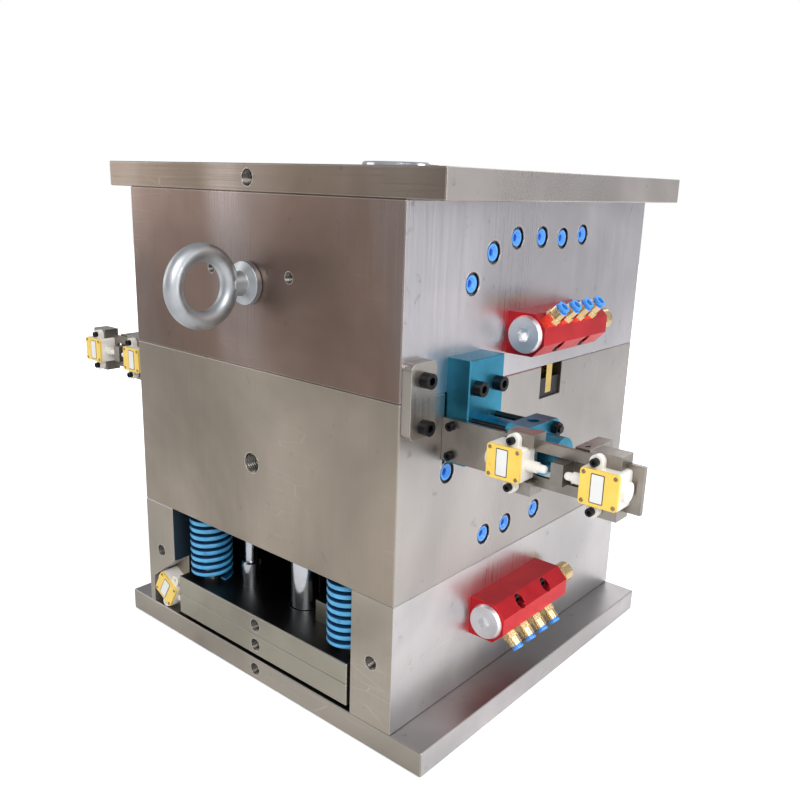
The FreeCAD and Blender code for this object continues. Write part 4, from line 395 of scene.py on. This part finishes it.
def dress_nodes():
    a_steel = steel("a_plate_steel", (0.17, 0.118, 0.095), (0.50, 0.48, 0.50), shade=None)
    b_steel = steel("b_plate_steel", (0.25, 0.212, 0.172), (0.38, 0.355, 0.34), shade=ejector_box_painted_shade)
    spacer = steel("spacer_steel", (0.27, 0.24, 0.20), (0.50, 0.48, 0.48), shade=ejector_box_painted_shade)
    top_steel = steel("top_clamp_steel", (0.17, 0.130, 0.100), (0.46, 0.42, 0.40), brush=(8.0, 900.0, 900.0))
    base_steel = steel("bottom_clamp_steel", (0.27, 0.243, 0.21), (0.46, 0.44, 0.44),
                       brush=(8.0, 900.0, 900.0), shade=clamp_top_painted_shade)
    box_steel = steel("ejector_steel", (0.25, 0.232, 0.19), (0.25, 0.24, 0.22), brush=(8.0, 900.0, 900.0),
                      shade=plate_top_painted_shade)
    strap = steel("strap_steel", (0.30, 0.27, 0.24), (0.36, 0.33, 0.30))
    insert = metal("insert_steel", (0.62, 0.62, 0.62), 0.25)
    bright = metal("bright_steel", (0.60, 0.61, 0.64), 0.14)
    black = metal("black_oxide", (0.035, 0.034, 0.036), 0.42, edge=0.3)
    red = metal("red_anodised", (0.72, 0.035, 0.045), 0.34, (0.62, 0.025, 0.035))
    plug = metal("plug_aluminium", (0.86, 0.86, 0.88), 0.38, grain=250.0)
    cyan = metal("cyan_anodised", (0.045, 0.28, 0.42), 0.36, (0.035, 0.20, 0.31), edge=0.7)
    ivory = paint("ivory_plastic", (0.80, 0.76, 0.69), (0.84, 0.80, 0.75), 0.42)
    yellow = paint("yellow_plastic", (0.90, 0.60, 0.09), (0.93, 0.65, 0.12), 0.32)
    black_plastic = paint("black_plastic", (0.02, 0.02, 0.022), (0.03, 0.03, 0.03), 0.45)
    blue_plastic = paint("blue_plastic", (0.07, 0.30, 0.80), (0.10, 0.38, 0.90), 0.28)
    nitrided = metal("nitrided_steel", (0.06, 0.06, 0.065), 0.4)
    gold = metal("gold_coating", (0.83, 0.60, 0.20), 0.24)
    cut = metal("cut_steel", (0.34, 0.31, 0.28), 0.36, (0.26, 0.235, 0.21), grain=300.0, bump=0.15)
    zinc = metal("galvanised_steel", (0.50, 0.52, 0.54), 0.44, (0.40, 0.415, 0.43), 90.0, 0.5, 0.001)
    assign(a_steel, "a_plate")
    assign(b_steel, "b_plate")
    assign(spacer, "left_spacer_block", "right_spacer_block")
    assign(top_steel, "top_clamp_plate")
    assign(base_steel, "bottom_clamp_plate")
    assign(box_steel, "retainer_plate", "ejector_plate", "stroke_stops")
    assign(strap, "transport_strap")
    assign(insert, "a_insert", "b_insert", "right_side_core", "left_side_core")
    assign(bright, "guide_pins", "support_pillars", "rest_buttons", "guide_bushings", "sprue_bushing",
           "locating_ring", "return_pins", "ejector_pins", "ejector_guide_bushings", "right_piston_rod",
           "left_piston_rod")
    assign(black, "moving_half_screws", "fixed_half_screws", "ejector_plate_screws", "strap_release_screw",
           "tie_rods")
    assign(red, "upper_manifold", "lower_manifold")
    assign(plug, "upper_manifold_plug", "lower_manifold_plug")
    assign(fitting_brass(), "upper_manifold_fittings", "lower_manifold_fittings")
    assign(cyan, "cylinder_blocks", "cylinder_barrels", "cylinder_rear_caps")
    assign(ivory, "switch_bodies", "ejector_switch_body", "right_inner_plunger", "left_inner_plunger",
           "right_outer_plunger", "left_outer_plunger", "ejector_switch_plunger")
    assign(yellow, "switch_covers", "ejector_switch_cover")
    assign(black_plastic, "a_side_ports", "b_side_ports")
    assign(blue_plastic, "a_side_collets", "b_side_collets")
    assign(nitrided, "side_lock_body")
    assign(gold, "side_lock_tongue")
    assign(cut, "switch_brackets", "switch_clamps", "right_dog", "left_dog")
    assign(zinc, "eye_bolt")


# ---------------------------------------------------------------- pieces

class Mesh:
    """Faces collected for one piece."""

    def __init__(self):
        self.points = []
        self.faces = []

    def grid(self, rows, around=True, ends=False):
        """Skin over rows of points; each row closes on itself when around is set."""
        start, width = len(self.points), len(rows[0])
        for row in rows:
            self.points += [tuple(p) for p in row]
        for i in range(len(rows) - 1):
            for j in range(width if around else width - 1):
                a, b = start + i * width + j, start + i * width + (j + 1) % width
                self.faces.append((a, b, b + width, a + width))
        if ends:
            self.faces.append(tuple(range(start + width - 1, start - 1, -1)))
            last = start + (len(rows) - 1) * width
            self.faces.append(tuple(range(last, last + width)))

    def make(self, name, material, body, smooth=True):
        mesh = bpy.data.meshes.new(name)
        mesh.from_pydata(self.points, [], self.faces)
        work = bmesh.new()
        work.from_mesh(mesh)
        bmesh.ops.recalc_face_normals(work, faces=work.faces)
        work.to_mesh(mesh)
        work.free()
        if smooth:
            mesh.shade_smooth()
            mesh.set_sharp_from_angle(angle=math.radians(35))
        mesh.materials.append(material)
        piece = bpy.data.objects.new(name, mesh)
        bpy.context.scene.collection.objects.link(piece)
        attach(piece, body)
        return piece


def ring(centre, across, up, radius, count=40):
    """Points of a circle in the plane of two unit vectors."""
    return [centre + radius * (math.cos(t) * across + math.sin(t) * up)
            for t in (2 * math.pi * i / count for i in range(count))]


def turned(mesh, centre, axis, profile, count=40):
    """Closed turned part: profile is (distance along the axis, radius), from end to end."""
    axis = Vector(axis)
    across = axis.orthogonal().normalized()
    up = axis.cross(across)
    mesh.grid([ring(centre + u * MM * axis, across, up, r * MM, count) for u, r in profile], ends=True)


def spring_colour():
    """Light blue enamel, with painted shade where the coils face each other."""
    g = Graph("spring_enamel")
    cloud = g.noise(g.scaled((1, 1, 1)), 60.0, 4.0, 0.6)
    grit = g.noise(g.scaled((1, 1, 1)), 400.0, 3.0, 0.6)
    # Painted shade: the flat wire's faces that face the next coil are darkened towards near black.
    facing = g.spread(g.math("ABSOLUTE", g.normal()[2]), 0.35, 0.8)
    base = g.mix(g.spread(cloud, 0.35, 0.7), (0.085, 0.42, 0.72), (0.06, 0.32, 0.60))
    base = g.mix(facing, base, (0.008, 0.05, 0.14))
    base = g.mix(g.math("MULTIPLY", g.spread(cloud, 0.6, 0.7), 0.5), base, (0.02, 0.10, 0.22))
    g.set(Base_Color=base, Roughness=g.spread(grit, 0.3, 0.7, 0.28, 0.42), Coat_Weight=0.3)
    g.shader.inputs["Coat Roughness"].default_value = 0.15
    g.bump(grit, 0.1, 0.0003, 0.0006)
    return g.material


def add_springs():
    """Flat-wire return springs with rounded coils and ground ends."""
    low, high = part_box("return_springs")
    turns, steps, outer, wire, tall = 12, 56, 28.0, 10.0, 6.4
    mesh = Mesh()
    section = [(outer - wire, -0.30), (outer - wire, 0.30), (outer - wire + 1, 0.5), (outer - 2.0, 0.5),
               (outer - 0.8, 0.42), (outer - 0.2, 0.25), (outer, 0.0), (outer - 0.2, -0.25),
               (outer - 0.8, -0.42), (outer - 2.0, -0.5), (outer - wire + 1, -0.5)]
    for x in (low.x + outer * MM, high.x - outer * MM):
        for y in (low.y + outer * MM, high.y - outer * MM):
            rows = []
            for i in range(turns * steps + 1):
                turn = 2 * math.pi * i / steps
                share = i / (turns * steps)
                thin = min(1.0, 0.35 + 8 * min(share, 1 - share))
                height = tall * MM * thin
                z = low.z + height / 2 + share * (high.z - low.z - height)
                rows.append([Vector((x + r * MM * math.cos(turn), y + r * MM * math.sin(turn), z + h * height))
                             for r, h in section])
            mesh.grid(rows, ends=True)
    piece = mesh.make("return_spring_coils", spring_colour(), "moving_half")
    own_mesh(piece)
    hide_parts("return_springs")


def threaded_hole(mesh, centre, axis, radius, pitch, depth, count=36):
    """Thread seen in a hole's mouth: a saw-tooth helix going in."""
    axis = Vector(axis)
    across = axis.orthogonal().normalized()
    up = axis.cross(across)
    rows = []
    steps = int(4 * depth / pitch)
    for i in range(steps + 1):
        v = 0.4 + i * pitch / 4
        row = []
        for j in range(count):
            phase = (v / pitch - j / count) % 1.0
            cut = 0.62 * pitch * (1 - abs(2 * phase - 1))
            t = 2 * math.pi * j / count
            r = (radius - 0.05 - cut) * MM
            row.append(centre - v * MM * axis + r * (math.cos(t) * across + math.sin(t) * up))
        rows.append(row)
    mesh.grid(rows)


def mouth(mesh, centre, axis, radius, width=0.9):
    """Bright bevelled rim round a hole, a hair proud of the face."""
    axis = Vector(axis)
    across = axis.orthogonal().normalized()
    up = axis.cross(across)
    profile = ((0.0, radius + width), (0.06, radius + width), (0.06, radius + width - 0.1),
               (-0.6, radius - 0.02), (-0.8, radius - 0.02))
    mesh.grid([ring(centre + u * MM * axis, across, up, r * MM) for u, r in profile])


def add_threads():
    thread_steel = metal("thread_steel", (0.16, 0.145, 0.13), 0.30, edge=0.9)
    rim_steel = metal("rim_steel", (0.80, 0.79, 0.77), 0.20)
    spacer_low, spacer_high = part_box("right_spacer_block")
    spacer_x = (spacer_low.x + spacer_high.x) / 2
    spacer_z = (spacer_low.z + spacer_high.z) / 2
    plates = {"fixed_half": [("top_clamp_plate", 0, 0, 9.0, 2.0, 14), ("a_plate", -66, 11.0, 6.0, 1.75, 10),
                             ("a_plate", 66, 11.0, 6.0, 1.75, 10)],
              "moving_half": [("b_plate", 0, -4.5, 12.0, 3.0, 26), ("bottom_clamp_plate", 0, 0, 8.0, 2.0, 14)],
              "ejector": [("ejector_plate", 0, 0, 8.0, 2.0, 14), ("retainer_plate", 0, 0, 8.0, 2.0, 14)]}
    for body, holes in plates.items():
        threads, rims = Mesh(), Mesh()
        places = []
        for name, x, rise, radius, pitch, depth in holes:
            low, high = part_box(name)
            places.append((Vector((x * MM, low.y, (low.z + high.z) / 2 + rise * MM)), radius, pitch, depth))
        if body == "moving_half":
            for x, rise in ((-spacer_x, 8.0), (spacer_x, 0.0)):
                places.append((Vector((x, FRONT, spacer_z + rise * MM)), 8.0, 2.0, 14))
        for place, radius, pitch, depth in places:
            threaded_hole(threads, place, (0, -1, 0), radius, pitch, depth)
            mouth(rims, place, (0, -1, 0), radius)
        threads.make(body + "_threads", thread_steel, body)
        rims.make(body + "_thread_rims", rim_steel, body)


# Water ports of the mould's side: place along Y and height from the parting line, in millimetres.
A_PORTS = ((-143, 110), (-107, 141), (-62, 155), (-10, 154.5), (37, 152), (85, 155))
B_PORTS = ((-172, -90), (-94, -186.5), (-48, -186.5), (18, -186.5))


def add_ports():
    """Bright countersink round each port, and the dark tube stop inside its collet."""
    rim_steel = bpy.data.materials["rim_steel"]
    stop = paint("tube_stop_plastic", (0.012, 0.05, 0.36), (0.016, 0.06, 0.42), 0.3)
    lip = paint("collet_lip_plastic", (0.16, 0.50, 0.95), (0.20, 0.56, 0.97), 0.25)
    for body, ports, name in (("fixed_half", A_PORTS, "a_side"), ("moving_half", B_PORTS, "b_side")):
        rims, stops, lips = Mesh(), Mesh(), Mesh()
        for y, rise in ports:
            place = Vector((SIDE, y * MM, PART_LINE + rise * MM))
            mouth(rims, place, (1, 0, 0), 12.5, 1.4)
            turned(stops, place, (1, 0, 0), ((-16, 4.6), (-7.2, 4.6), (-6.6, 4.3), (-6.4, 3.6), (-6.3, 2.0)), 28)
            turned_ring(lips, place, ((-4.2, 9.0), (-3.6, 8.6), (-3.4, 7.8), (-3.8, 7.0), (-5.4, 5.6),
                                      (-5.6, 5.6)))
        rims.make(name + "_port_rims", rim_steel, body)
        stops.make(name + "_tube_stops", stop, body)
        lips.make(name + "_collet_lips", lip, body)


def turned_ring(mesh, centre, profile):
    across, up = Vector((0, 1, 0)), Vector((0, 0, 1))
    mesh.grid([ring(centre + Vector((u * MM, 0, 0)), across, up, r * MM) for u, r in profile])


def slab(mesh, place, width, height, low, high, radius):
    """Rounded plate in a switch's own frame, standing along -Y from low to high."""
    rows = []
    for y, inset in ((low, 0.0), (high - 0.15, 0.0), (high, 0.15)):
        row = []
        for cx, cz, start in ((1, 1, 0), (-1, 1, 1), (-1, -1, 2), (1, -1, 3)):
            for k in range(5):
                t = (start + k / 4) * math.pi / 2
                u = cx * (width / 2 - radius) + (radius - inset) * math.cos(t)
                v = cz * (height / 2 - radius) + (radius - inset) * math.sin(t)
                row.append(place @ Vector((u * MM, -y * MM, v * MM)))
        rows.append(row)
    mesh.grid(rows, ends=True)


def add_labels():
    """Blank label in a dark frame on each switch cover, with a screw in each corner."""
    low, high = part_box("switch_covers")
    frame_dark = paint("label_frame", (0.05, 0.045, 0.04), (0.07, 0.06, 0.05), 0.5)
    label_white = paint("blank_label", (0.78, 0.78, 0.75), (0.84, 0.84, 0.82), 0.35)
    screw_steel = metal("cover_screw_steel", (0.34, 0.24, 0.13), 0.35)
    centre_z = (low.z + high.z) / 2
    face = low.y
    seats = [("fixed_half", sign, Matrix.Translation((sign * x, face, centre_z)))
             for sign in (1, -1) for x in (INNER_COVER, OUTER_COVER)]
    tilt = Matrix.Rotation(math.radians(30), 4, "Y")
    tilted = Matrix.Translation(TILTED_ROOT) @ tilt @ Matrix.Translation((-19.5 * MM, -25 * MM, 0))
    seats.append(("moving_half", 1, tilted))
    for body in ("fixed_half", "moving_half"):
        frames, labels, screws = Mesh(), Mesh(), Mesh()
        for rides, sign, seat in seats:
            if rides != body:
                continue
            shifted = seat @ Matrix.Translation((-1.5 * sign * MM, 0, 0))
            slab(frames, shifted, 13.6, 28.0, -0.3, 0.25, 1.2)
            slab(labels, shifted, 11.8, 26.2, -0.2, 0.45, 0.8)
            for u in (-15.6, 15.6):
                for v in (-13.6, 13.6):
                    head = seat @ Matrix.Translation((u * MM, 0, v * MM))
                    axis = (head.to_3x3() @ Vector((0, -1, 0))).normalized()
                    turned(screws, head.translation, axis, ((-0.3, 2.1), (0.3, 2.1), (0.7, 1.6), (0.75, 0.7),
                                                            (0.2, 0.6), (0.15, 0.3)), 16)
        frames.make(body + "_label_frames", frame_dark, body)
        labels.make(body + "_blank_labels", label_white, body)
        screws.make(body + "_cover_screws", screw_steel, body)


# ---------------------------------------------------------------- build

bpy.context.scene.view_settings.view_transform = "Standard"
add_camera()
add_lights()
add_world()
add_floor()
dress_nodes()
add_springs()
add_threads()
add_ports()
add_labels()
